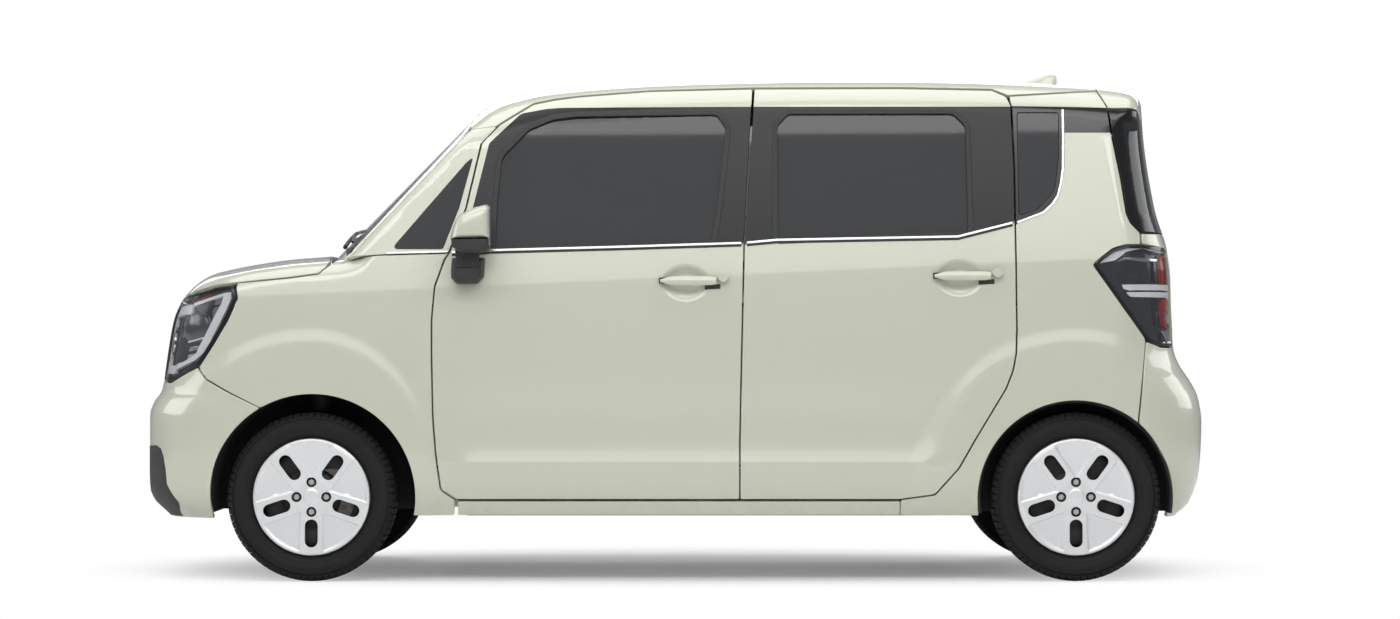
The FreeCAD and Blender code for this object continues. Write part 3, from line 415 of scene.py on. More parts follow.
def resample(loop, spacing, closed=True):
    """Points no further apart than the spacing, with every given corner kept."""
    out = []
    count = len(loop)
    for i in range(count if closed else count - 1):
        a, b = loop[i], loop[(i + 1) % count]
        length = math.hypot(*(b - a))
        if length < 0.4:
            continue
        parts = max(1, math.ceil(length / spacing))
        out += [a + (b - a) * k / parts for k in range(parts)]
    if not closed:
        out.append(loop[-1])
    return np.array(out)


def open_line(points, spacing):
    """An open line through the points, which may carry a corner radius, as closely spaced points."""
    return resample(np.array([p[:2] for p in points], float), spacing, closed=False)


def area(loop):
    a, b = loop[:, 0], loop[:, 1]
    return 0.5 * float(np.sum(a * np.roll(b, -1) - np.roll(a, -1) * b))


def forward(loop):
    """The loop as it runs counter-clockwise."""
    loop = np.asarray(loop, float)
    return loop if area(loop) > 0 else loop[::-1]


def without_crowding(loop, gap):
    """The loop without points that are nearer than the gap to the one before."""
    kept = [loop[0]]
    for point in loop[1:]:
        if math.hypot(*(point - kept[-1])) >= gap:
            kept.append(point)
    while len(kept) > 3 and math.hypot(*(kept[-1] - kept[0])) < gap:
        kept.pop()
    return np.array(kept)


def inside(points, loop):
    """Which points lie inside a closed loop."""
    x, y = points[:, 0][:, None], points[:, 1][:, None]
    a, b = loop[None, :, :], np.roll(loop, -1, axis=0)[None, :, :]
    spans = (a[..., 1] > y) != (b[..., 1] > y)
    rise = np.where(b[..., 1] == a[..., 1], 1e-9, b[..., 1] - a[..., 1])
    cross = a[..., 0] + (y - a[..., 1]) * (b[..., 0] - a[..., 0]) / rise
    return np.sum(spans & (x < cross), axis=1) % 2 == 1


def far_from(points, loop, distance):
    keep = np.ones(len(points), bool)
    for start in range(0, len(points), 2000):
        block = points[start:start + 2000]
        gap = np.sqrt(((block[:, None] - loop[None]) ** 2).sum(-1)).min(axis=1)
        keep[start:start + 2000] = gap > distance
    return keep


def offset(loop, amount):
    """The loop moved towards its right-hand side, which is outwards on a counter-clockwise loop."""
    before = loop - np.roll(loop, 1, axis=0)
    after = np.roll(loop, -1, axis=0) - loop
    before = before / np.maximum(np.linalg.norm(before, axis=1, keepdims=True), 1e-9)
    after = after / np.maximum(np.linalg.norm(after, axis=1, keepdims=True), 1e-9)
    way = before + after
    way = way / np.maximum(np.linalg.norm(way, axis=1, keepdims=True), 1e-9)
    out = np.stack([way[:, 1], -way[:, 0]], axis=-1)
    lean = np.maximum((way * before).sum(-1, keepdims=True), 0.6)
    return loop + out * amount / lean, out


def grown(loop, amount):
    """A closed loop drawn outwards, or inwards where the amount is negative."""
    return offset(forward(loop), amount)[0]


def within(points, loops):
    """Which points lie inside the first loop and outside the others."""
    keep = inside(points, loops[0])
    for hole in loops[1:]:
        keep &= ~inside(points, hole)
    return keep


def triangulate(loops, extra=(), lines=()):
    """Triangles of the area inside the first loop and outside the others, with edges along the lines."""
    verts, edges = [], []
    for loop in list(loops) + list(lines):
        first = len(verts)
        verts += [Vector(p) for p in loop]
        edges += [(first + k, first + (k + 1) % len(loop)) for k in range(len(loop))]
    verts += [Vector(p) for p in extra]
    out, _, faces, origin, _, _ = geometry.delaunay_2d_cdt(verts, edges, [], 0, 1e-4)
    out = np.array([tuple(p) for p in out])
    faces = np.array(faces)
    return out, faces[within(out[faces].mean(axis=1), loops)], origin


def cut_loops(outline, *others):
    """The outline with other loops taken out of it: its outer loop, then its holes."""
    loops = [np.asarray(l, float) for l in (outline,) + others]
    out, faces, _ = triangulate(loops)
    onward = {}
    edges = set()
    for face in faces:
        for k in range(3):
            edges.add((face[k], face[(k + 1) % 3]))
    for a, b in edges:
        if (b, a) not in edges:
            onward.setdefault(a, []).append(b)
    found = []
    while onward:
        start = next(iter(onward))
        chain = [start]
        here = start
        while True:
            following = onward[here].pop()
            if not onward[here]:
                del onward[here]
            if following == start or following not in onward:
                break
            chain.append(following)
            here = following
        found.append(out[chain])
    found = [l for l in found if abs(area(l)) > 60]
    found.sort(key=lambda l: -abs(area(l)))
    return found


class Shape:
    """Points, faces and corner normals gathered into one mesh, in millimetres."""

    def __init__(self):
        self.points = []
        self.faces = []
        self.normals = []
        self.zones = []
        self.count = 0
        self.flipped = False

    def add_points(self, points):
        first = self.count
        self.points.append(np.asarray(points, float))
        self.count += len(points)
        return first

    def add_faces(self, faces, normals, zone=0):
        """Faces as rows of point numbers, with one normal for every corner."""
        faces = np.asarray(faces)
        normals = np.asarray(normals)
        if self.flipped:
            faces = faces[:, ::-1]
            normals = normals[:, ::-1]
        self.faces += faces.tolist()
        self.normals.append(normals.reshape(-1, 3))
        self.zones += list(zone) if np.ndim(zone) else [zone] * len(faces)

    def mesh(self, name, looks, mirror=False):
        """The finished mesh, with the finishes of those names."""
        points = np.concatenate(self.points) * MM
        normals = np.concatenate(self.normals)
        faces = self.faces
        if mirror:
            points = points * [1, -1, 1]
            flipped, turned, at = [], [], 0
            for face in faces:
                flipped.append(face[::-1])
                turned.append(normals[at:at + len(face)][::-1])
                at += len(face)
            faces = flipped
            normals = np.concatenate(turned) * [1, -1, 1]
        mesh = bpy.data.meshes.new(name)
        mesh.from_pydata(points.tolist(), [], faces)
        mesh.polygons.foreach_set("material_index", np.array(self.zones, np.int32))
        for look in looks:
            mesh.materials.append(Car.finishes[look])
        mesh.shade_smooth()
        mesh.normals_split_custom_set(normals.tolist())
        return mesh


def place(name, mesh, body, replaces=()):
    """Links a finished mesh as a piece that rides on a body."""
    piece = bpy.data.objects.new(name, mesh)
    bpy.context.scene.collection.objects.link(piece)
    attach(piece, body)
    if replaces:
        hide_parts(*replaces)
    return piece


def with_crossings(top, loop, zone_loops):
    """A loop and its inset twin, with points added where the inset one crosses a zone's edge."""
    new_top, new_loop = [], []
    count = len(top)
    for k in range(count):
        a, b = top[k], top[(k + 1) % count]
        found = []
        for zone in zone_loops:
            c, d = zone, np.roll(zone, -1, axis=0)
            r, s = b - a, d - c
            cross = r[0] * s[:, 1] - r[1] * s[:, 0]
            cross = np.where(np.abs(cross) < 1e-12, 1e-12, cross)
            t = ((c - a)[:, 0] * s[:, 1] - (c - a)[:, 1] * s[:, 0]) / cross
            w = ((c - a)[:, 0] * r[1] - (c - a)[:, 1] * r[0]) / cross
            found += list(t[(t > 0.02) & (t < 0.98) & (w >= 0) & (w <= 1)])
        new_top.append(a)
        new_loop.append(loop[k])
        for t in sorted(found):
            new_top.append(a + (b - a) * t)
            new_loop.append(loop[k] + (loop[(k + 1) % count] - loop[k]) * t)
    return np.array(new_top), np.array(new_loop)


def panel(shape, surface, loops, depth=0.0, thickness=8.0, spacing=14.0, edge=2.0, rows=(), zones=(), base=0):
    """A closed sheet on a surface, with rounded edges: loops is its outline and then its holes."""
    loops = [without_crowding(np.asarray(l, float), 2 * edge) for l in loops]
    loops = [l if (area(l) > 0) == (i == 0) else l[::-1] for i, l in enumerate(loops)]
    middle = loops[0].mean(axis=0)[None]
    here = surface.at(middle)
    turn = np.cross(surface.at(middle + [1, 0]) - here, surface.at(middle + [0, 1]) - here)
    shape.flipped = float((turn * surface.normal(middle, here)).sum()) < 0

    def lift(uv, down):
        p = surface.at(uv)
        n = surface.normal(uv, p)
        return p - n * down, n

    tops = [offset(l, -edge)[0] for l in loops]
    zone_loops = [resample(np.asarray(z, float), spacing * 0.6) for z, _ in zones]
    if zone_loops:
        pairs = [with_crossings(top, loop, zone_loops) for top, loop in zip(tops, loops)]
        tops = [pair[0] for pair in pairs]
        loops = [pair[1] for pair in pairs]
    low = loops[0].min(axis=0)
    high = loops[0].max(axis=0)

    def scatter(gap):
        grid = np.stack(np.meshgrid(np.arange(low[0] + gap / 2, high[0], gap),
                                    np.arange(low[1] + gap / 2, high[1], gap)), axis=-1)
        grid[1::2, :, 0] += gap / 2
        return grid.reshape(-1, 2)

    def zone_of(places):
        numbers = np.full(len(places), base)
        for loop, (_, number) in zip(zone_loops, zones):
            numbers[inside(places, loop)] = number
        return numbers

    extra = scatter(spacing)
    if rows:
        marks = np.concatenate([open_line(row, spacing) for row in rows])
        extra = extra[far_from(extra, marks, spacing * 0.45)] if len(extra) else extra
        extra = np.concatenate([extra, marks])
    extra = extra[within(extra, tops)]
    extra = extra[far_from(extra, np.concatenate(tops), spacing * 0.3)]
    if zone_loops:
        extra = extra[far_from(extra, np.concatenate(zone_loops), spacing * 0.35)]
    flat, faces, origins = triangulate(tops, extra, zone_loops)
    points, normals = lift(flat, depth)
    first = shape.add_points(points)
    shape.add_faces(faces + first, normals[faces], zone_of(flat[faces].mean(axis=1)))
    place_of = {}
    for index, origin in enumerate(origins):
        for o in origin:
            place_of[o] = index

    bottoms, at = [], 0
    for loop, top in zip(loops, tops):
        count = len(top)
        _, away = offset(loop, 0.0)
        here = np.array([place_of[at + k] for k in range(count)])
        tangent = surface.at(flat[here] + away * 0.5) - surface.at(flat[here])
        out = tangent - normals[here] * (tangent * normals[here]).sum(-1, keepdims=True)
        out = out / np.maximum(np.linalg.norm(out, axis=-1, keepdims=True), 1e-9)
        edge_zone = zone_of(loop)
        previous, previous_normals = here + first, normals[here]
        for angle in (30, 60, 90):
            a = math.radians(angle)
            p, n = lift(top + (loop - top) * math.sin(a), depth + edge * (1 - math.cos(a)))
            turned = n * math.cos(a) + out * math.sin(a)
            new = np.arange(count) + shape.add_points(p)
            add_ring(shape, previous, new, previous_normals, turned, edge_zone)
            previous, previous_normals = new, turned
        new = np.arange(count) + shape.add_points(lift(loop, depth + thickness)[0])
        add_ring(shape, previous, new, out, out, edge_zone)
        bottoms.append(new)
        at += count

    wide = scatter(max(spacing * 2.2, 26))
    wide = wide[within(wide, loops)]
    wide = wide[far_from(wide, np.concatenate(loops), spacing * 0.7)]
    flat, faces, origins = triangulate(loops, wide, zone_loops)
    points, normals = lift(flat, depth + thickness)
    rim = np.concatenate(bottoms)
    numbers = np.full(len(flat), -1)
    for index, origin in enumerate(origins):
        for o in origin:
            if o < len(rim):
                numbers[index] = rim[o]
    free = np.where(numbers < 0)[0]
    numbers[free] = np.arange(len(free)) + shape.add_points(points[free])
    back = faces[:, ::-1]
    shape.add_faces(numbers[back], -normals[back], zone_of(flat[faces].mean(axis=1)))


def add_ring(shape, upper, lower, upper_normals, lower_normals, zone):
    n = len(upper)
    j = np.roll(np.arange(n), -1)
    faces = np.stack([upper, lower, lower[j], upper[j]], axis=-1)
    normals = np.stack([upper_normals, lower_normals, lower_normals[j], upper_normals[j]], axis=1)
    shape.add_faces(faces, normals, zone)


# Side-view outlines as (x, z) or (x, z, corner radius)
FRONT_DOOR = [(-744, 1083, 15), (-760, 1059), (-791, 971), (-801, 860), (-801, 740), (-797, 541), (-787, 421),
              (-772, 301, 20), (-721, 268, 12), (214, 268, 6), (214, 461), (218, 661), (227, 1059),
              (228, 1109), (259, 1633, 8), (-84, 1625), (-326, 1606), (-399, 1596), (-472, 1581),
              (-581, 1512), (-641, 1450, 20), (-690, 1232)]
REAR_DOOR = [(214, 268, 6), (742, 268, 60), (857, 285, 30), (934, 372), (983, 458), (1047, 565), (1090, 636),
             (1112, 693), (1123, 750), (1126, 829), (1124, 960), (1122, 1175), (1122, 1358), (1115, 1572),
             (1102, 1605, 25), (1054, 1628), (748, 1634), (262, 1633, 8), (228, 1109), (227, 1059),
             (218, 661), (214, 461)]
FRONT_WINDOW = [(-596, 1096, 20), (-592, 1240), (-578, 1401, 60), (-486, 1497, 60), (-406, 1531, 60),
                (-326, 1541), (141, 1547, 30), (173, 1499, 30), (144, 1240), (124, 1113, 20)]
REAR_WINDOW = [(335, 1125, 12), (334, 1507, 30), (372, 1549, 30), (923, 1550, 35), (966, 1507, 35),
               (971, 1147, 12)]
FRONT_QUARTER = [(-938, 1094, 14), (-764, 1094, 14), (-712, 1232), (-667, 1404, 20), (-690, 1386, 30)]
REAR_QUARTER = [(1133, 1550, 8), (1134, 1204, 10), (1199, 1226, 60), (1256, 1290, 60), (1270, 1401),
                (1273, 1550, 8)]
FENDER = [(-1441, 982), (-1267, 1000), (-1175, 1013), (-1149, 1036, 12), (-1120, 1062), (-1067, 1071),
          (-952, 1077), (-744, 1083), (-760, 1059), (-791, 971), (-801, 860), (-801, 740), (-797, 541),
          (-787, 421), (-772, 301, 20), (-726, 268), (-726, 214), (-1300, 214), (-1300, 572), (-1368, 572),
          (-1464, 621, 60), (-1545, 667), (-1572, 706), (-1549, 739), (-1518, 785), (-1473, 860),
          (-1440, 932, 12), (-1449, 980)]
HEADLAMP_SIDE = [(-1597, 950), (-1453, 980, 12), (-1440, 932, 30), (-1473, 860), (-1518, 785), (-1549, 739),
            (-1575, 709), (-1617, 686), (-1675, 655)]
TAIL_LAMP = [(1377, 1044, 10), (1406, 1069), (1444, 1098, 40), (1488, 1110, 30), (1539, 1110), (1608, 1100),
             (1900, 1096), (1900, 773), (1636, 773), (1610, 774, 20), (1558, 795, 30), (1480, 899, 60)]
TAIL_LAMP_SIDE = [(1636, 774), (1610, 775), (1558, 796), (1480, 900), (1378, 1044), (1406, 1068),
                  (1444, 1096),
                  (1488, 1108), (1539, 1108), (1606, 1099)]
QUARTER_PANEL = [(1126, 829), (1123, 750), (1112, 693), (1090, 636), (1047, 565), (983, 458), (934, 372),
                 (857, 285), (742, 268), (742, 214), (1526, 214), (1526, 536), (1540, 664),
                 (1555, 790), (1536, 1112), (1536, 1150), (1503, 1183), (1490, 1215), (1474, 1329),
                 (1445, 1483), (1435, 1566), (1404, 1626), (1106, 1607), (1115, 1572),
                 (1122, 1358), (1122, 1175), (1124, 960)]
PILLAR_REAR = [(-1138, 1062), (-1067, 1071), (-952, 1079), (-747, 1086), (-693, 1232), (-645, 1447),
               (-590, 1507), (-560, 1530)]
ROOF_SIDE = [(-597, 1505), (-581, 1516), (-472, 1586), (-399, 1601), (-326, 1610), (-84, 1629),
             (262, 1638), (748, 1639), (1054, 1633), (1106, 1610), (1403, 1629)]
BONNET_SIDE = [(-1597, 957), (-1519, 979), (-1449, 986), (-1267, 1004), (-1175, 1017), (-1154, 1037),
               (-1142, 1060)]
NOSE_SEAM = [(-1366, 572), (-1464, 619), (-1547, 665), (-1576, 703), (-1617, 683), (-1673, 653)]
GATE_LOWER_SIDE = [(1608, 1103), (1541, 1115), (1541, 1146)]
GATE_GLASS_SIDE = [(1541, 1154), (1527, 1165), (1505, 1184), (1493, 1215), (1477, 1329), (1448, 1483),
                   (1438, 1558)]
GATE_TOP_SIDE = [(1437, 1566), (1407, 1627)]
BUMPER_SEAM = [(1528, 524), (1528, 536), (1542, 664), (1556, 784), (1562, 788), (1610, 770), (1636, 769)]
BELT = [(-952, 1076), (-744, 1079), (-606, 1087), (-186, 1098), (228, 1111), (335, 1121), (933, 1132),
        (1122, 1180)]
BLACK_FRONT = [(-744, 1080), (-606, 1087), (-186, 1098), (228, 1111), (300, 1111), (300, 1570), (-382, 1567),
               (-430, 1563), (-512, 1548, 40), (-616, 1448, 30), (-668, 1232), (-720, 1083)]
BLACK_REAR = [(180, 1111), (228, 1111), (335, 1121), (933, 1132), (1150, 1190), (1150, 1570), (180, 1570)]
BLACK_QUARTER = [(1100, 1572), (1100, 1168), (1122, 1176), (1215, 1212, 60), (1266, 1272, 60),
                 (1287, 1361, 60),
                 (1290, 1482), (1460, 1482), (1445, 1566), (1290, 1569)]
LAMP_BAND = [(-1603, 922), (-1488, 957), (-1466, 959), (-1462, 934), (-1490, 943), (-1524, 934),
             (-1601, 910)]
LAMP_HOOK = [(-1462, 934), (-1477, 898), (-1534, 791), (-1561, 753), (-1592, 728), (-1663, 699),
             (-1662, 717), (-1630, 726), (-1589, 750), (-1555, 811), (-1497, 918), (-1490, 943)]
LAMP_REFLECTOR = [(-1524, 932), (-1492, 941), (-1500, 918), (-1532, 861), (-1534, 893), (-1527, 905),
                  (-1500, 910), (-1502, 915), (-1526, 914)]
LAMP_WEDGE = [(-1602, 907), (-1523, 931), (-1534, 898), (-1537, 873), (-1564, 880), (-1583, 893)]
LAMP_LINE = [(-1623, 792), (-1558, 807), (-1558, 802), (-1623, 787)]
LAMP_FIN_HIGH = [(-1618, 772), (-1571, 780), (-1581, 766), (-1621, 758)]
LAMP_FIN_LOW = [(-1624, 747), (-1585, 754), (-1602, 736), (-1628, 727)]
LAMP_INLAY = [(-1590, 932), (-1534, 949), (-1534, 946), (-1589, 928)]
# Painted highlights: a light grey band along the tail lens's top and a bright reflector strip below it stand
# where the smoked lens shows its reflections.
TAIL_PAINTED_HIGHLIGHT = [(1384, 1050), (1432, 1085), (1489, 1104), (1616, 1105), (1633, 1086), (1614, 1086),
             (1549, 1101), (1489, 1089), (1449, 1058), (1403, 1049)]
TAIL_PAINTED_GLINT = [(1457, 1054), (1482, 1069), (1549, 1068), (1611, 1065), (1611, 1057), (1549, 1056),
              (1489, 1063)]
TAIL_BAR_HIGH = [(1472, 978), (1646, 978), (1646, 959), (1515, 959), (1499, 958), (1479, 963)]
TAIL_BAR_LOW = [(1489, 953), (1646, 953), (1647, 929), (1641, 935), (1505, 937), (1497, 942)]
TAIL_RED_HIGH = [(1611, 1065), (1615, 1075), (1645, 1077), (1646, 1068), (1628, 1065), (1624, 1058),
                 (1626, 981), (1615, 981)]
TAIL_RED_LOW = [(1615, 927), (1631, 927), (1631, 862), (1636, 851), (1652, 846), (1653, 834), (1633, 835),
                (1624, 846), (1620, 874)]
TAIL_FOOT = [(1621, 824), (1655, 827), (1645, 784)]
PROJECTOR_PLACE = (-1612, 838)
PROJECTOR_R = 66.0
CORNER_TRIM = [(-1722, 446), (-1704, 436), (-1694, 410), (-1686, 368), (-1682, 318), (-1664, 286),
               (-1641, 256),
               (-1640, 222)]


def circle(x, z, radius, count=110):
    a = np.arange(count) * 2 * math.pi / count
    return np.stack([x + radius * np.cos(a), z + radius * np.sin(a)], axis=-1)


def arc(x, z, radius, start_deg, end_deg, count=24):
    a = np.radians(np.linspace(start_deg, end_deg, count))
    return np.stack([x + radius * np.cos(a), z + radius * np.sin(a)], axis=-1)


def shut(points, gap=HALF_GAP, spacing=7.0):
    """An outline drawn in by half a shut gap."""
    return grown(rounded_loop(points, spacing), -gap)


def shift(line, amount):
    """An open line moved towards its right-hand side."""
    way = np.gradient(line, axis=0)
    way = way / np.maximum(np.linalg.norm(way, axis=1, keepdims=True), 1e-9)
    return line + np.stack([way[:, 1], -way[:, 0]], axis=-1) * amount


def ribbon(line, width, spacing=8.0):
    """The closed outline of a strip along an open line."""
    line = open_line(line, spacing)
    return np.concatenate([shift(line, width / 2), shift(line, -width / 2)[::-1]])


def shoulder_rows(x0, x1):
    """Extra rows of points where the flank's creases run."""
    x = np.linspace(x0, x1, max(2, int((x1 - x0) / 14)))
    rows = [np.stack([x, LOWER_CREASE_Z + dz + 0 * x], axis=-1) for dz in (-11, -5, -1.5, 1.5, 5, 11)]
    rows += [np.stack([x, SHOULDER_Z + SHOULDER_RISE * x + dz], axis=-1) for dz in (-12, -6, -2, 2, 6, 12)]
    return rows


def straight_rows(x0, x1):
    """Rows along the shoulder only, for panels that the lower crease fades out of."""
    return shoulder_rows(x0, x1)[6:]


class Body:
    """The charts of the body's skin and the outlines that are drawn on them."""

    def __init__(self):
        self.charts = make_charts()

    def on(self, chart, points, axes=(0, 2)):
        return self.charts[chart].locate(points, axes)

    def carry(self, line, chart, other):
        """A line of one chart as places on another chart that covers the same surface."""
        return self.charts[other].locate(self.charts[chart].at(line), (0, 1, 2))

    def bonnet_edge(self):
        """The bonnet's side edge on its own chart, from the lamp to the cowl, on the car's left."""
        return self.on("bonnet", open_line(BONNET_SIDE, 9))

    def screen_edges(self):
        """The windscreen's left edge and its top edge on the screen's chart."""
        z = np.linspace(1088, 1526, 40)
        left = np.stack([-(flank(screen_x(0 * z + 700, z), z) - 27), z], axis=-1)
        y = np.linspace(left[-1, 0], 0, 30)
        return left, np.stack([y, 1572 - 50 * (y / 700) ** 2], axis=-1)

    def mirror_line(self, line):
        """A line from the left side and its twin on the right, joined into a closed outline."""
        return np.concatenate([line, (line * [-1, 1])[::-1]])

    def nose_top(self):
        """The bonnet's shut line over the nose, from the left lamp to the middle."""
        chart = self.charts["nose"]
        start = self.on("nose", [(-1597, 953)])[0]
        u = np.linspace(start[0], 0, 60)
        v = np.full_like(u, 930.0)
        for _ in range(3):
            x = chart.at(np.stack([u, v], axis=-1))[:, 0]
            v = 922 + 31 * step((x + 1690) / 96)
        return np.stack([u, v], axis=-1)


class Value:
    """A number in a shader, which grows Math nodes as it is used in an expression."""

    def __init__(self, finish, socket):
        self.finish = finish
        self.socket = socket

    def math(self, operation, other=None, third=None, swap=False):
        terms = [self, other] if not swap else [other, self]
        if third is not None:
            terms.append(third)
        settings = {"operation": operation}
        node = self.finish.node("ShaderNodeMath", settings,
                                {i: t for i, t in enumerate(terms) if t is not None})
        return Value(self.finish, node.outputs[0])

    def __add__(self, other):
        return self.math("ADD", other)

    __radd__ = __add__

    def __sub__(self, other):
        return self.math("SUBTRACT", other)

    def __rsub__(self, other):
        return self.math("SUBTRACT", other, swap=True)

    def __mul__(self, other):
        return self.math("MULTIPLY", other)

    __rmul__ = __mul__

    def __truediv__(self, other):
        return self.math("DIVIDE", other)

    def __rtruediv__(self, other):
        return self.math("DIVIDE", other, swap=True)

    def __gt__(self, other):
        return self.math("GREATER_THAN", other)

    def __lt__(self, other):
        return self.math("LESS_THAN", other)

    def __pow__(self, other):
        return self.math("POWER", other)

    def clamp(self):
        return self.math("ADD", 0.0).math("MINIMUM", 1.0).math("MAXIMUM", 0.0)

    def smooth(self, low, high):
        """0 below low, 1 above high and a soft rise between."""
        node = self.finish.node("ShaderNodeMapRange", {"interpolation_type": "SMOOTHSTEP"},
                                {"Value": self, "From Min": low, "From Max": high})
        return Value(self.finish, node.outputs[0])


class Finish:
    """One procedural material: a Principled surface and the nodes that feed it."""

    def __init__(self, name, **sockets):
        self.name = name
        self.material = bpy.data.materials.new(name)
        self.material.use_nodes = True
        self.tree = self.material.node_tree
        self.surface = self.tree.nodes["Principled BSDF"]
        self.place = self.node("ShaderNodeTexCoord").outputs["Object"]
        for socket, value in sockets.items():
            self.set(socket.replace("_", " "), value)

    def node(self, kind, settings=None, inputs=None):
        """A node of that type, with its settings made before its sockets are given values or links."""
        node = self.tree.nodes.new(kind)
        for key, value in (settings or {}).items():
            if key == "stops":
                ramp_points = node.color_ramp.elements
                while len(ramp_points) < len(value):
                    ramp_points.new(0.5)
                for point, (position, colour) in zip(ramp_points, value):
                    point.position = position
                    point.color = tuple(colour) + (1.0,)
            else:
                setattr(node, key, value)
        for key, value in (inputs or {}).items():
            socket = node.inputs[key]
            if isinstance(value, Value):
                self.tree.links.new(value.socket, socket)
            elif isinstance(value, bpy.types.NodeSocket):
                self.tree.links.new(value, socket)
            else:
                socket.default_value = value
        return node

    def set(self, socket, value):
        if isinstance(value, Value):
            value = value.socket
        if isinstance(value, bpy.types.NodeSocket):
            self.tree.links.new(value, self.surface.inputs[socket])
        elif isinstance(value, tuple) and len(value) == 3:
            self.surface.inputs[socket].default_value = value + (1.0,)
        else:
            self.surface.inputs[socket].default_value = value

    def axis(self, index):
        """Object coordinate x, y or z, in metres."""
        node = self.node("ShaderNodeSeparateXYZ", None, {0: self.place})
        return Value(self, node.outputs[index])

    def noise(self, scale, detail=2.0, roughness=0.5, stretch=None):
        vector = self.place
        if stretch:
            vector = self.node("ShaderNodeMapping", None, {"Vector": vector, "Scale": stretch}).outputs[0]
        node = self.node("ShaderNodeTexNoise", None, {"Vector": vector, "Scale": scale, "Detail": detail,
                                                      "Roughness": roughness})
        return Value(self, node.outputs[0])

    def cells(self, scale, feature="F1", stretch=None):
        vector = self.place
        if stretch:
            vector = self.node("ShaderNodeMapping", None, {"Vector": vector, "Scale": stretch}).outputs[0]
        node = self.node("ShaderNodeTexVoronoi", {"feature": feature}, {"Vector": vector, "Scale": scale})
        return Value(self, node.outputs["Distance"])

    def mix(self, share, first, second):
        """A colour between two colours."""
        def colour(c):
            return tuple(c) + (1.0,) if isinstance(c, tuple) else c
        node = self.node("ShaderNodeMix", {"data_type": "RGBA"},
                         {0: share, 6: colour(first), 7: colour(second)})
        return node.outputs[2]

    def bump(self, height, distance, strength=1.0):
        node = self.node("ShaderNodeBump", None,
                         {"Strength": strength, "Distance": distance, "Height": height})
        self.set("Normal", node.outputs[0])


PAINT_COLOUR = (0.475, 0.485, 0.395)


# Seat cloth threads, in radians a metre
WEAVE_TURNS = 5200.0
# Glass and lenses: how much they cover what is behind, and their colour
LENS_FINISHES = (
    ("screen_glass", 0.50, (0.02, 0.028, 0.026)), ("smoked_lens", 0.72, (0.014, 0.013, 0.014)),
    ("clear_lens", 0.14, (0.10, 0.11, 0.12)), ("red_lens", 0.9, (0.32, 0.006, 0.010)),
    ("amber_lens", 0.85, (0.6, 0.17, 0.01)),
)
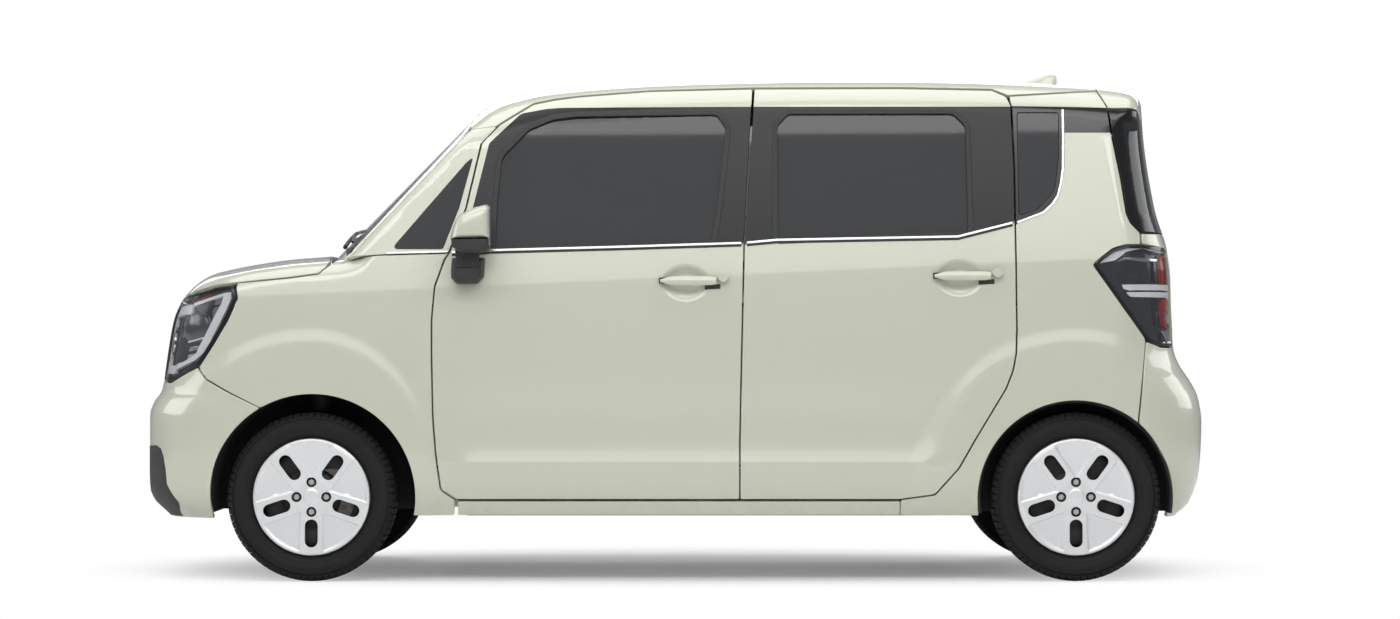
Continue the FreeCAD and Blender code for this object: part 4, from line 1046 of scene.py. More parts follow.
# Name, other sockets, the colour's noise, its two colours, the roughness (base, gain, noise), and the grain
PLAIN_FINISHES = (
    ("black_film", {"Specular_IOR_Level": 0.3}, (300.0,), (0.0085, 0.009, 0.0095), (0.013, 0.0135, 0.014),
     (0.30, 0.08, 60.0), ("cells", (1400.0,), 0.00003, 0.5)),
    ("gloss_black", {"Specular_IOR_Level": 0.4, "Coat_Weight": 0.2, "Coat_Roughness": 0.04}, (8.0,),
     (0.005, 0.005, 0.0055), (0.009, 0.009, 0.0095), (0.16, 0.08, 25.0), None),
    ("grained_trim", {}, (18.0, 4.0), (0.014, 0.0145, 0.015), (0.026, 0.026, 0.027), (0.52, 0.16, 40.0),
     ("cells", (700.0,), 0.00025, 0.7)),
    ("seal_rubber", {}, (40.0,), (0.010, 0.010, 0.0105), (0.017, 0.017, 0.017), (0.55, 0.15, 120.0),
     ("noise", (900.0,), 0.0001, 0.4)),
    ("bright_strip", {"Metallic": 1.0}, (15.0,), (0.72, 0.73, 0.73), (0.82, 0.82, 0.81),
     (0.16, 0.1, 200.0, 2.0, 0.5, (1.0, 1.0, 12.0)), None),
    ("tyre_rubber", {"Specular_IOR_Level": 0.2}, (9.0, 4.0), (0.0075, 0.0075, 0.008), (0.014, 0.0137, 0.013),
     (0.6, 0.18, 70.0), ("noise", (1200.0, 2.0), 0.00025, 0.5)),
    ("black_steel", {"Metallic": 0.6}, (35.0, 4.0), (0.016, 0.016, 0.017), (0.045, 0.041, 0.037),
     (0.42, 0.25, 60.0, 3.0), ("noise", (500.0, 3.0), 0.0002, 0.4)),
    ("zinc_nut", {"Metallic": 1.0}, (300.0,), (0.42, 0.42, 0.41), (0.6, 0.6, 0.58), (0.28, 0.2, 400.0), None),
    ("cast_alloy", {"Metallic": 0.9}, (20.0, 3.0), (0.33, 0.335, 0.34), (0.47, 0.47, 0.47),
     (0.42, 0.2, 90.0, 3.0), ("cells", (260.0,), 0.0003, 0.35)),
    ("sealed_floor", {}, (12.0, 4.0), (0.020, 0.020, 0.021), (0.052, 0.05, 0.047), (0.72, 0.15, 30.0),
     ("noise", (220.0, 4.0), 0.001, 0.6)),
    ("arch_felt", {}, (160.0, 3.0), (0.008, 0.008, 0.0085), (0.022, 0.022, 0.022), (0.92,),
     ("noise", (900.0, 2.0), 0.0008, 0.7)),
    ("cabin_plastic", {}, (14.0, 3.0), (0.040, 0.040, 0.043), (0.062, 0.062, 0.065), (0.55, 0.12, 60.0),
     ("cells", (520.0,), 0.0003, 0.6)),
    ("headliner_cloth", {}, (500.0,), (0.36, 0.36, 0.345), (0.43, 0.43, 0.41), (0.95,),
     ("noise", (1500.0, 2.0), 0.0004, 0.6)),
    ("carpet_pile", {}, (420.0, 3.0), (0.016, 0.016, 0.017), (0.042, 0.042, 0.043), (0.97,),
     ("noise", (900.0, 3.0), 0.003, 0.8)),
    ("light_bar", {}, (60.0,), (0.72, 0.74, 0.76), (0.84, 0.85, 0.86), (0.22, 0.1, 90.0), None),
    ("lamp_grey", {"Specular_IOR_Level": 0.3}, (30.0,), (0.026, 0.028, 0.032), (0.05, 0.052, 0.058),
     (0.3, 0.15, 50.0), None),
    ("projector_glass", {"IOR": 1.5, "Coat_Weight": 1.0, "Coat_Roughness": 0.02}, (9.0,),
     (0.035, 0.037, 0.042), (0.06, 0.062, 0.07), (0.06, 0.04, 12.0), None),
    ("bright_reflector", {"Metallic": 1.0}, (20.0,), (0.6, 0.62, 0.65), (0.8, 0.8, 0.82), (0.1, 0.12, 30.0),
     None),
)


def make_finishes(colours):
    """Every material of the car, by name."""
    made = {}

    def keep(finish):
        made[finish.name] = finish.material
        return finish

    paint = keep(Finish("pearl_paint", Coat_Weight=1.0, Coat_Roughness=0.03))
    base = tuple(colours.paint)
    flake = paint.noise(900.0, 1.0)
    tone = paint.noise(1.3, 2.0)
    # Darker towards the bottom, below about 0.34 m: painted shade in the paint's own hue, broken up by noise,
    # and rougher there as dust.
    low_shade_and_dust = 1 - paint.axis(2).smooth(0.20, 0.34)
    shade = paint.mix(flake.smooth(0.35, 0.7), tuple(c * 0.965 for c in base), tuple(c * 1.03 for c in base))
    shade = paint.mix(tone * 0.25, shade, tuple(c * 0.95 for c in base))
    paint.set("Base Color", paint.mix(low_shade_and_dust * paint.noise(30.0, 3.0) * 0.35, shade, (0.21, 0.2, 0.17)))
    paint.set("Roughness", 0.34 + 0.06 * flake + 0.2 * low_shade_and_dust)
    paint.set("Metallic", flake.smooth(0.45, 0.8) * 0.12)

    for name, sockets, tone, dark, light, rough, grain in PLAIN_FINISHES:
        plain = keep(Finish(name, **sockets))
        plain.set("Base Color", plain.mix(plain.noise(*tone), dark, light))
        plain.set("Roughness", rough[0] + rough[1] * plain.noise(*rough[2:]) if len(rough) > 1 else rough[0])
        if grain:
            kind, settings, distance, strength = grain
            plain.bump(getattr(plain, kind)(*settings), distance, strength)

    for name, alpha, colour in (("tinted_glass", 0.86, tuple(colours.glass)),) + LENS_FINISHES:
        glass = keep(Finish(name, IOR=1.5, Specular_IOR_Level=0.4))
        haze = glass.noise(3.0, 3.0)
        glass.set("Base Color", glass.mix(haze, tuple(c * 0.94 for c in colour),
                                          tuple(min(1.0, c * 1.08) for c in colour)))
        glass.set("Roughness", 0.02 + 0.02 * haze)
        glass.set("Alpha", alpha + 0.03 * haze)
        glass.material.surface_render_method = "BLENDED"

    cover = keep(Finish("wheel_cover_silver", Coat_Weight=0.35, Coat_Roughness=0.12))
    sparkle = cover.noise(1500.0, 1.0)
    cover.set("Base Color", cover.mix(sparkle, (0.60, 0.61, 0.62), (0.70, 0.705, 0.71)))
    cover.set("Metallic", 0.25 + 0.2 * sparkle)
    cover.set("Roughness", 0.33 + 0.1 * cover.noise(25.0))

    cast = keep(Finish("cast_iron", Metallic=0.85))
    rust = cast.noise(28.0, 4.0).smooth(0.5, 0.72)
    cast.set("Base Color", cast.mix(rust, (0.13, 0.13, 0.132), (0.16, 0.085, 0.045)))
    cast.set("Roughness", 0.5 + 0.3 * rust)
    cast.bump(cast.noise(700.0, 3.0), 0.0005, 0.5)

    cloth = keep(Finish("seat_cloth", Sheen_Weight=0.25))
    x, y, z = (cloth.axis(i) * WEAVE_TURNS for i in range(3))
    weave = x.math("SINE") * z.math("SINE")
    across_weave = y.math("SINE") * x.math("COSINE")
    threads = (weave + across_weave) * 0.25 + 0.5
    fleck = cloth.noise(380.0, 2.0)
    cloth.set("Base Color", cloth.mix(fleck, (0.045, 0.046, 0.050), (0.115, 0.116, 0.12)))
    cloth.set("Roughness", 0.88 + 0.08 * fleck)
    cloth.bump(threads.clamp(), 0.0004, 0.6)
    return made


SLOT_FINISH = {
    "paint": "pearl_paint", "glass": "tinted_glass", "lamp_clear": "clear_lens", "lamp_smoked": "smoked_lens",
    "trim_black": "grained_trim", "bumper_paint": "pearl_paint", "underbody": "sealed_floor",
    "steel": "black_steel", "cast": "cast_iron", "cabin_plastic": "cabin_plastic", "cloth": "seat_cloth",
    "cover": "wheel_cover_silver", "tyre": "tyre_rubber", "aluminium_case": "cast_alloy",
}
NODE_FINISH = {
    "roof": "pearl_paint", "windscreen": "screen_glass", "arch_liners": "arch_felt",
               "floor_pan": "sealed_floor",
    "cowl": "grained_trim", "lower_grille": "grained_trim", "dashboard": "cabin_plastic",
}


class Car:
    """What the operators share: the body's charts and the finishes."""

    body = None
    finishes = {}

    @classmethod
    def get(cls):
        if cls.body is None:
            cls.body = Body()
            cls.finishes = make_finishes(bpy.context.scene.city_car_colours)
        return cls.body


def both_sides(shape, stem, looks, rider, slot, replaces=(), **options):
    """A left piece and its mirrored twin. {} in a name stands for left or right."""
    for hand in ("left", "right"):
        mesh = shape.mesh(stem.format(hand), looks, mirror=hand == "right", **options)
        place(stem.format(hand), mesh, rider.format(hand), [r.format(hand) for r in replaces])


def single(shape, name, looks, rider, replaces=()):
    """One piece of a shape or solid."""
    place(name, shape.mesh(name, looks), rider, replaces)


def skin_piece(chart, outline, holes=(), rows=(), zones=(), thickness=8.0, depth=0.0, spacing=14.0, edge=2.0):
    """A panel on one chart from loops that are already in its coordinates."""
    shape = Shape()
    panel(shape, Car.get().charts[chart], [outline] + list(holes), depth, thickness, spacing, edge, rows,
          zones)
    return shape


class Solid:
    """Closed forms gathered into one mesh with rounded or sharp edges, in millimetres."""

    def __init__(self):
        self.points = []
        self.faces = []
        self.zones = []

    def add(self, points, faces, zone=0):
        first = len(self.points)
        self.points += [tuple(float(c) for c in p) for p in points]
        self.faces += [[first + k for k in face] for face in faces]
        self.zones += [zone] * len(faces)

    def loft(self, rings, zone=0, closed=False):
        """A skin over rings of equally many points, with its ends capped unless it runs round."""
        n = len(rings[0])
        faces = []
        pairs = len(rings) if closed else len(rings) - 1
        for i in range(pairs):
            a, b = i * n, (i + 1) % len(rings) * n
            faces += [(a + k, a + (k + 1) % n, b + (k + 1) % n, b + k) for k in range(n)]
        if not closed:
            faces += [tuple(range(n))[::-1], tuple(range((len(rings) - 1) * n, len(rings) * n))]
        self.add([p for ring in rings for p in ring], faces, zone)

    def turned(self, profile, centre, axis=(0, -1, 0), count=96, zone=0):
        """A closed profile of (distance along the axis, radius) turned about the axis."""
        axis = Vector(axis).normalized()
        first = axis.orthogonal().normalized()
        second = axis.cross(first)
        rings = []
        for k in range(count):
            a = 2 * math.pi * k / count
            out = first * math.cos(a) + second * math.sin(a)
            rings.append([Vector(centre) + axis * along + out * radius for along, radius in profile])
        self.loft(rings, zone, closed=True)

    def sweep(self, path, section, up=(0, 0, 1), zone=0, scale=None):
        """A section of (across, up) points carried along a path."""
        rings = []
        for k, here in enumerate(path):
            way = Vector(path[min(k + 1, len(path) - 1)]) - Vector(path[max(k - 1, 0)])
            across = way.cross(Vector(up)).normalized()
            above = across.cross(way).normalized()
            s = scale[k] if scale else 1.0
            rings.append([Vector(here) + across * a * s + above * b * s for a, b in section])
        self.loft(rings, zone)

    def block(self, low, high, soft=2.0, zone=0):
        """A box with rounded edges along its height."""
        x0, y0, z0 = low
        x1, y1, z1 = high
        rings = []
        for z, inset in ((z0, soft), (z0 + 0.3 * soft, 0.3 * soft), (z0 + soft, 0), (z1 - soft, 0),
                         (z1 - 0.3 * soft, 0.3 * soft), (z1, soft)):
            a, b, c, d, s = x0 + inset, x1 - inset, y0 + inset, y1 - inset, soft
            rings.append([(a + s, c, z), (b - s, c, z), (b, c + s, z), (b, d - s, z), (b - s, d, z),
                          (a + s, d, z),
                          (a, d - s, z), (a, c + s, z)])
        self.loft(rings, zone)

    def mesh(self, name, looks, mirror=False, sharp=38):
        """The finished mesh, with the finishes of those names."""
        mesh = bpy.data.meshes.new(name)
        points = np.array(self.points) * MM * ([1, -1, 1] if mirror else [1, 1, 1])
        mesh.from_pydata(points.tolist(), [], self.faces)
        mesh.polygons.foreach_set("material_index", np.array(self.zones, np.int32))
        for look in looks:
            mesh.materials.append(Car.finishes[look])
        work = bmesh.new()
        work.from_mesh(mesh)
        bmesh.ops.remove_doubles(work, verts=work.verts, dist=1e-6)
        bmesh.ops.recalc_face_normals(work, faces=work.faces)
        work.to_mesh(mesh)
        work.free()
        mesh.shade_smooth()
        mesh.set_sharp_from_angle(angle=math.radians(sharp))
        return mesh


def joined(name, meshes):
    """Several meshes as one, with each material kept."""
    work = bmesh.new()
    materials = []
    for mesh in meshes:
        first = len(work.faces)
        for material in mesh.materials:
            if material not in materials:
                materials.append(material)
        work.from_mesh(mesh)
        work.faces.ensure_lookup_table()
        numbers = [materials.index(m) for m in mesh.materials]
        for face in work.faces[first:]:
            face.material_index = numbers[min(face.material_index, len(numbers) - 1)]
    out = bpy.data.meshes.new(name)
    work.to_mesh(out)
    work.free()
    for material in materials:
        out.materials.append(material)
    return out


def repeat_tree():
    """Geometry Nodes that repeat a mesh: each copy is turned about Y and moved on from the last."""
    tree = bpy.data.node_groups.get("repeat_along")
    if tree:
        return tree
    tree = bpy.data.node_groups.new("repeat_along", "GeometryNodeTree")
    interface = tree.interface
    interface.new_socket("Geometry", in_out="INPUT", socket_type="NodeSocketGeometry")
    for name, kind in (("Count", "NodeSocketInt"), ("Turn", "NodeSocketFloat"), ("Step", "NodeSocketVector"),
                       ("Centre", "NodeSocketVector"), ("Finish", "NodeSocketMaterial")):
        interface.new_socket(name, in_out="INPUT", socket_type=kind)
    interface.new_socket("Geometry", in_out="OUTPUT", socket_type="NodeSocketGeometry")

    def node(kind, **links):
        made = tree.nodes.new(kind)
        for socket, source in links.items():
            tree.links.new(source, made.inputs[socket.replace("_", " ")])
        return made

    given = tree.nodes.new("NodeGroupInput").outputs
    line = node("GeometryNodeMeshLine", Count=given["Count"], Offset=given["Step"])
    turn = node("ShaderNodeMath")
    turn.operation = "MULTIPLY"
    tree.links.new(node("GeometryNodeInputIndex").outputs[0], turn.inputs[0])
    tree.links.new(given["Turn"], turn.inputs[1])
    about = node("ShaderNodeCombineXYZ", Y=turn.outputs[0])
    copies = node("GeometryNodeInstanceOnPoints", Points=line.outputs[0], Instance=given["Geometry"],
                  Rotation=about.outputs[0])
    solid = node("GeometryNodeRealizeInstances", Geometry=copies.outputs[0])
    moved = node("GeometryNodeTransform", Geometry=solid.outputs[0], Translation=given["Centre"])
    finish = node("GeometryNodeSetMaterial", Geometry=moved.outputs[0], Material=given["Finish"])
    out = tree.nodes.new("NodeGroupOutput")
    tree.links.new(finish.outputs[0], out.inputs[0])
    return tree


def repeated(mesh, count, turn=0.0, step=(0, 0, 0), centre=(0, 0, 0)):
    """A mesh repeated with Geometry Nodes. Steps and the centre are in millimetres."""
    tree = repeat_tree()
    holder = bpy.data.objects.new("repeat_source", mesh)
    bpy.context.scene.collection.objects.link(holder)
    modifier = holder.modifiers.new("repeat", "NODES")
    modifier.node_group = tree
    values = {"Count": count, "Turn": turn, "Step": [c * MM for c in step],
              "Centre": [c * MM for c in centre],
              "Finish": mesh.materials[0]}
    for item in tree.interface.items_tree:
        if item.in_out == "INPUT" and item.name in values:
            modifier[item.identifier] = values[item.name]
    seen = holder.evaluated_get(bpy.context.evaluated_depsgraph_get())
    out = bpy.data.meshes.new_from_object(seen)
    holder.modifiers.remove(modifier)
    bpy.data.objects.remove(holder)
    return out


class CarColours(bpy.types.PropertyGroup):
    """The colours that a user would change."""

    paint: bpy.props.FloatVectorProperty(
        name="Paint", description="Body colour of the painted panels", subtype="COLOR", size=3,
        default=PAINT_COLOUR, min=0.0, max=1.0)
    glass: bpy.props.FloatVectorProperty(
        name="Window tint", description="Tint of the side and rear windows", subtype="COLOR", size=3,
        default=(0.020, 0.0215, 0.023), min=0.0, max=1.0)


class CarSizes(bpy.types.PropertyGroup):
    """The sizes that a user would change."""

    tread_depth: bpy.props.FloatProperty(
        name="Tread depth", description="Depth of the tyres' grooves", default=0.007, min=0.002, max=0.012,
        unit="LENGTH")
    slat_pitch: bpy.props.FloatProperty(
        name="Slat pitch", description="Distance between the lower grille's slats", default=0.024,
        min=0.010, max=0.060, unit="LENGTH")


class CITYCAR_OT_doors(bpy.types.Operator):
    """Builds the four doors: outer skins, inner panels, window seals and glass"""

    bl_idname = "citycar.doors"
    bl_label = "Doors"

    def execute(self, context):
        body = Car.get()
        for row, outline, window, black, x0, x1 in (
                ("front", FRONT_DOOR, FRONT_WINDOW, BLACK_FRONT, -800, 225),
                ("rear", REAR_DOOR, REAR_WINDOW, BLACK_REAR, 214, 1125)):
            rider = "door_" + row + "_{}"
            opening = body.on("side", rounded_loop(window))
            bowl = HANDLE_BOWLS[row == "rear"]
            rings = [circle(0, 0, share, 60) * BOWL_HALF + bowl for share in BOWL_RINGS]
            skin = skin_piece("side", body.on("side", shut(outline)), [opening],
                              shoulder_rows(x0, x1) + rings,
                              [(body.on("side", rounded_loop(black)), 1)])
            both_sides(skin, "door_skin_" + row + "_{}", ["pearl_paint", "black_film"],
                       rider, "paint", ["door_" + row + "_{}", "sash_" + row + "_{}"])
            inner = grown(rounded_loop(outline, 12), -15.6)
            inner = cut_loops(inner, np.array([(-900, 1568), (1300, 1568), (1300, 1800), (-900, 1800)]))[0]
            inner = without_crowding(inner, 12)
            hole = grown(rounded_loop(window, 12), 9)
            card = skin_piece("side", body.on("side", inner), [body.on("side", hole)], thickness=52,
                              depth=8.5,
                              spacing=26, edge=4)
            both_sides(card, "door_inner_" + row + "_{}", ["cabin_plastic"], rider, "cabin_plastic")
            glass = grown(rounded_loop(window, 10), 7)
            pane = skin_piece("side", body.on("side", glass), thickness=4.2, depth=8.8, spacing=26, edge=0.8)
            both_sides(pane, "window_pane_" + row + "_{}", ["tinted_glass"], rider, "glass",
                       ["window_" + row + "_{}"])
            outer = grown(rounded_loop(window), 13)
            lip = grown(rounded_loop(window), -5)
            seal = skin_piece("side", body.on("side", outer), [body.on("side", lip)], thickness=10.5,
                              depth=-2.2,
                              spacing=12, edge=2.2)
            both_sides(seal, "window_seal_" + row + "_{}", ["seal_rubber"], rider, "trim_black")
        return {"FINISHED"}


class CITYCAR_OT_sides(bpy.types.Operator):
    """Builds the painted body sides: fenders, rear quarters and sills"""

    bl_idname = "citycar.sides"
    bl_label = "Body sides"

    def execute(self, context):
        body = Car.get()
        front_arch = circle(FRONT_ARCH_X, FRONT_ARCH_Z, FRONT_ARCH_R)
        rear_arch = circle(REAR_ARCH_X, REAR_ARCH_Z, REAR_ARCH_R)
        fender = cut_loops(shut(FENDER), front_arch)[0]
        seam = body.bonnet_edge()
        seam = body.carry(shift(seam, 2 * HALF_GAP), "bonnet", "fender")
        seam_x = body.charts["fender"].at(seam)[:, 0]
        seam = seam[(seam_x > -1445) & (seam_x < -1150)]
        places = body.on("fender", fender)
        on_seam = (fender[:, 0] > -1447) & (fender[:, 0] < -1130) & (fender[:, 1] > 974
                                                                     + (fender[:, 0] > -1300) * 10)
        first = int(np.argmax(on_seam & ~np.roll(on_seam, 1)))
        places, on_seam = np.roll(places, -first, axis=0), np.roll(on_seam, -first)
        start, rest = places[on_seam][0], places[~on_seam]
        if np.hypot(*(seam[0] - start)) > np.hypot(*(seam[-1] - start)):
            seam = seam[::-1]
        both_sides(skin_piece("fender", np.concatenate([seam, rest]), thickness=9, edge=2.4,
                              rows=straight_rows(-1500, -760)),
                   "fender_skin_{}", ["pearl_paint"], "body", "paint", ["fender_{}"])
        lamp = grown(rounded_loop(TAIL_LAMP), 2.0)
        quarter = cut_loops(shut(QUARTER_PANEL), rear_arch, lamp)[0]
        window = grown(rounded_loop(REAR_QUARTER), -1.0)
        skin = skin_piece("side", body.on("side", quarter), [body.on("side", window)], thickness=60, edge=2.4,
                          rows=straight_rows(1130, 1500),
                          zones=[(body.on("side", rounded_loop(BLACK_QUARTER)), 1)])
        both_sides(skin, "quarter_skin_{}", ["pearl_paint", "gloss_black"], "body", "paint", ["body_side_{}"])
        sill = np.array([(-716.0, 217.0), (742.0, 217.0), (742.0, 262.0), (-716.0, 262.0)])
        sill = skin_piece("side", body.on("side", resample(sill, 14)), thickness=60, edge=3)
        both_sides(sill, "sill_{}", ["pearl_paint"], "body", "paint")
        return {"FINISHED"}


class CITYCAR_OT_upper(bpy.types.Operator):
    """Builds the roof, windscreen pillars, windscreen, fixed side glass, headliner and inner frames"""

    bl_idname = "citycar.upper"
    bl_label = "Roof and screens"

    def execute(self, context):
        body = Car.get()
        left, top = body.screen_edges()
        side = body.on("roof", open_line(ROOF_SIDE, 12))
        header = body.carry(top + [0, 4], "screen", "roof")
        corner = header[0]
        header = header[header[:, 1] > corner[1] + 4]
        half = np.concatenate([header[::-1], [corner], side])
        outline = np.concatenate([half, (half * [1, -1])[::-1]])
        roof = skin_piece("roof", resample(outline, 12), thickness=16, spacing=24, edge=1.4)
        single(roof, "roof_skin", ["pearl_paint"], "body", ["roof"])
        rear = body.on("pillar", open_line(PILLAR_REAR, 12))
        seam = shift(open_line([side[0], corner], 10), -1.2)
        seam = body.carry(seam, "roof", "pillar")
        front = body.carry(shift(left, -4)[::-1], "screen", "pillar")
        rear = rear[rear[:, 0] < seam[0, 0]]
        pillar = skin_piece("pillar", np.concatenate([rear, seam, front[1:]]), [body.on(
            "pillar", grown(rounded_loop(FRONT_QUARTER), -1))], thickness=14, edge=1.2)
        both_sides(pillar, "pillar_skin_{}", ["pearl_paint"], "body", "paint", ["windscreen_pillars"])
        lining = np.array([(-560.0, -520.0), (1380.0, -520.0), (1380.0, 520.0), (-560.0, 520.0)])
        lining = skin_piece("roof", resample(lining, 30), thickness=12, depth=26, spacing=45, edge=4)
        single(lining, "headliner", ["headliner_cloth"], "body")
        half = np.concatenate([left, top[1:]])
        outline = np.concatenate([half, (half * [-1, 1])[::-1][1:]])
        border = grown(outline, -26)
        shape = Shape()
        panel(shape, body.charts["screen"], [resample(outline, 14)], 0.4, 4.2, 40, 0.8, zones=[(border, 1)])
        single(shape, "windscreen_pane", ["gloss_black", "screen_glass"], "body", ["windscreen"])
        for stem, chart, outline, down in (("quarter_pane_front_{}", "pillar", FRONT_QUARTER, 1.4),
                                           ("quarter_pane_rear_{}", "side", REAR_QUARTER, 0.6)):
            pane = grown(rounded_loop(outline), -1.6)
            pane = skin_piece(chart, body.on(chart, pane), thickness=4, depth=down, spacing=22, edge=0.8)
            both_sides(pane, stem, ["tinted_glass"], "body", "glass", ["quarter_glass"])
        wall = np.array([(-815, 217), (1526, 217), (1526, 640), (1545, 790), (1540, 1100), (1520, 1140),
                         (1493, 1178), (1478, 1215), (1462, 1329), (1433, 1483), (1421, 1530), (-600, 1530),
                         (-690, 1460), (-790, 1180), (-815, 970)], float)
        ways = [grown(rounded_loop(o, 14), -30) for o in (FRONT_DOOR, REAR_DOOR)]
        found = cut_loops(resample(wall, 20), circle(REAR_ARCH_X, REAR_ARCH_Z, REAR_ARCH_R), *ways)
        wall = found[0]
        holes = [body.on("frame", grown(rounded_loop(REAR_QUARTER, 14), 12))]
        wall = skin_piece("frame", body.on("frame", wall), holes, thickness=28, depth=88, spacing=40, edge=4)
        both_sides(wall, "inner_frame_{}", ["pearl_paint"], "body", "paint")
        return {"FINISHED"}


class CITYCAR_OT_ends(bpy.types.Operator):
    """Builds the bonnet, both bumpers and the tailgate with its wrapped glass"""

    bl_idname = "citycar.ends"
    bl_label = "Bonnet, bumpers and tailgate"

    def execute(self, context):
        body = Car.get()
        nose = body.charts["nose"]
        arch = arc(FRONT_ARCH_X, FRONT_ARCH_Z, FRONT_ARCH_R, 192, 121)
        seam = np.concatenate([arch, open_line(NOSE_SEAM, 8)])
        seam = body.on("nose", seam)
        top = body.nose_top() - [0, HALF_GAP]
        top = top[top[:, 0] > -425]
        inner = np.array([(-428.0, 653.0), (-428.0, top[0, 1])])
        half = np.concatenate([seam, inner, top])
        half = np.concatenate([[(0.0, 207.0)], [(seam[0, 0], 207.0)], half])
        outline = resample(body.mirror_line(half), 9)
        intake = rounded_loop([(-400, 306, 26), (400, 306, 26), (372, 432, 26), (-372, 432, 26)])
        shape = Shape()
        panel(shape, nose, [outline, intake], 0, 12, 18, 2.4)
        single(shape, "front_bumper_skin", ["pearl_paint"], "body",
              ["front_bumper"])
        front = body.carry(body.nose_top() + [0, HALF_GAP], "nose", "bonnet")[::-1]
        side = body.bonnet_edge()
        y = np.linspace(-690, 0, 50)
        rear = body.on("bonnet", np.stack([-1188 + COWL_BOW * (y / CROWN_Y) ** 2, y], axis=-1), (0, 1))
        half = np.concatenate([front, side, rear])
        outline = resample(np.concatenate([half, (half * [1, -1])[::-1]]), 9)
        bonnet = skin_piece("bonnet", outline, thickness=14, spacing=20, edge=2.6)
        single(bonnet, "bonnet_skin", ["pearl_paint"], "bonnet", ["bonnet"])

        arch = arc(REAR_ARCH_X, REAR_ARCH_Z, REAR_ARCH_R, -12, 49.6)
        seam = np.concatenate([arch, open_line(BUMPER_SEAM, 8)])
        seam = body.on("tail", seam)
        inner = body.on("tail", [(-583, 769), (-583, 784)], (1, 2))
        half = np.concatenate([[(0.0, 207.0)], [(seam[0, 0], 207.0)], seam, inner, [(0.0, 784.0)]])
        bumper = skin_piece("tail", resample(body.mirror_line(half), 10), thickness=12, spacing=18, edge=2.4)
        single(bumper, "rear_bumper_skin", ["pearl_paint"], "body",
              ["rear_bumper"])
        inner = body.on("tail", open_line([(-584, 792), (-584, 1100)], 12), (1, 2))
        side = body.on("tail", open_line(GATE_LOWER_SIDE, 8))
        half = np.concatenate([[(0.0, 790.0)], inner, side, [(-700.0, 1147.0), (0.0, 1147.0)]])
        lower = skin_piece("tail", resample(body.mirror_line(half), 9), thickness=30, spacing=18, edge=2.4)
        single(lower, "tailgate_skin", ["pearl_paint"], "tailgate", ["tailgate"])
        side = body.on("tail", open_line(GATE_TOP_SIDE, 8))
        y = np.linspace(-612, 0, 40)
        top = body.on("tail", np.stack([np.full(40, 1409.0), y], axis=-1), (0, 1))
        half = np.concatenate([[(0.0, 1563.0), (-560.0, 1563.0)], side, top])
        spoiler = skin_piece("tail", resample(body.mirror_line(half), 9), thickness=30, spacing=18, edge=2.4)
        single(spoiler, "tailgate_spoiler", ["pearl_paint"], "tailgate")
        side = body.on("tail", open_line(GATE_GLASS_SIDE, 8))
        half = np.concatenate([[(0.0, 1151.5), (-690.0, 1151.5)], side, [(-560.0, 1559.0), (0.0, 1559.0)]])
        outline = resample(body.mirror_line(half), 9)
        border = grown(outline, -58)
        shape = Shape()
        panel(shape, body.charts["tail"], [outline], 0.8, 5, 26, 1.2, zones=[(border, 1)])
        single(shape, "tailgate_pane", ["gloss_black", "tinted_glass"], "tailgate",
               ["tailgate_glass"])
        return {"FINISHED"}


COVER_R = 195.0
SLOT_IN, SLOT_OUT, SLOT_HALF = 73.6, 165.6, 21.0
SLOT_COUNT = 5
NUT_CIRCLE_R = 49.0
NUT_COUNT = 4
NUT_PITCH = 2 * math.pi / NUT_COUNT
COVER_PROFILE = [(0, 71), (26, 69.5), (30, 67.5), (66, 66.5), (80, 68.5), (120, 70), (165, 72.6), (180, 73.4),
                 (186, 72.8), (191, 70.5), (195, 66)]


def cover_height(x, z):
    """How far the wheel cover's face stands out from the wheel's middle at a place on it."""
    radius = np.hypot(x, z)
    height = mono(COVER_PROFILE)(radius)
    angle = np.arctan2(x, -z)
    sector = 2 * math.pi / SLOT_COUNT
    aside = np.abs(radius * np.sin((angle + sector / 2) % sector - sector / 2))
    star = (1 - step((aside - 31 - 0.03 * radius) / 7)) * step((188 - radius) / 9) * step((radius - 52) / 12)
    hollow = (1 - star) * step((radius - 58) / 16) * step((186 - radius) / 8)
    return height + 1.2 * star - 4.4 * hollow


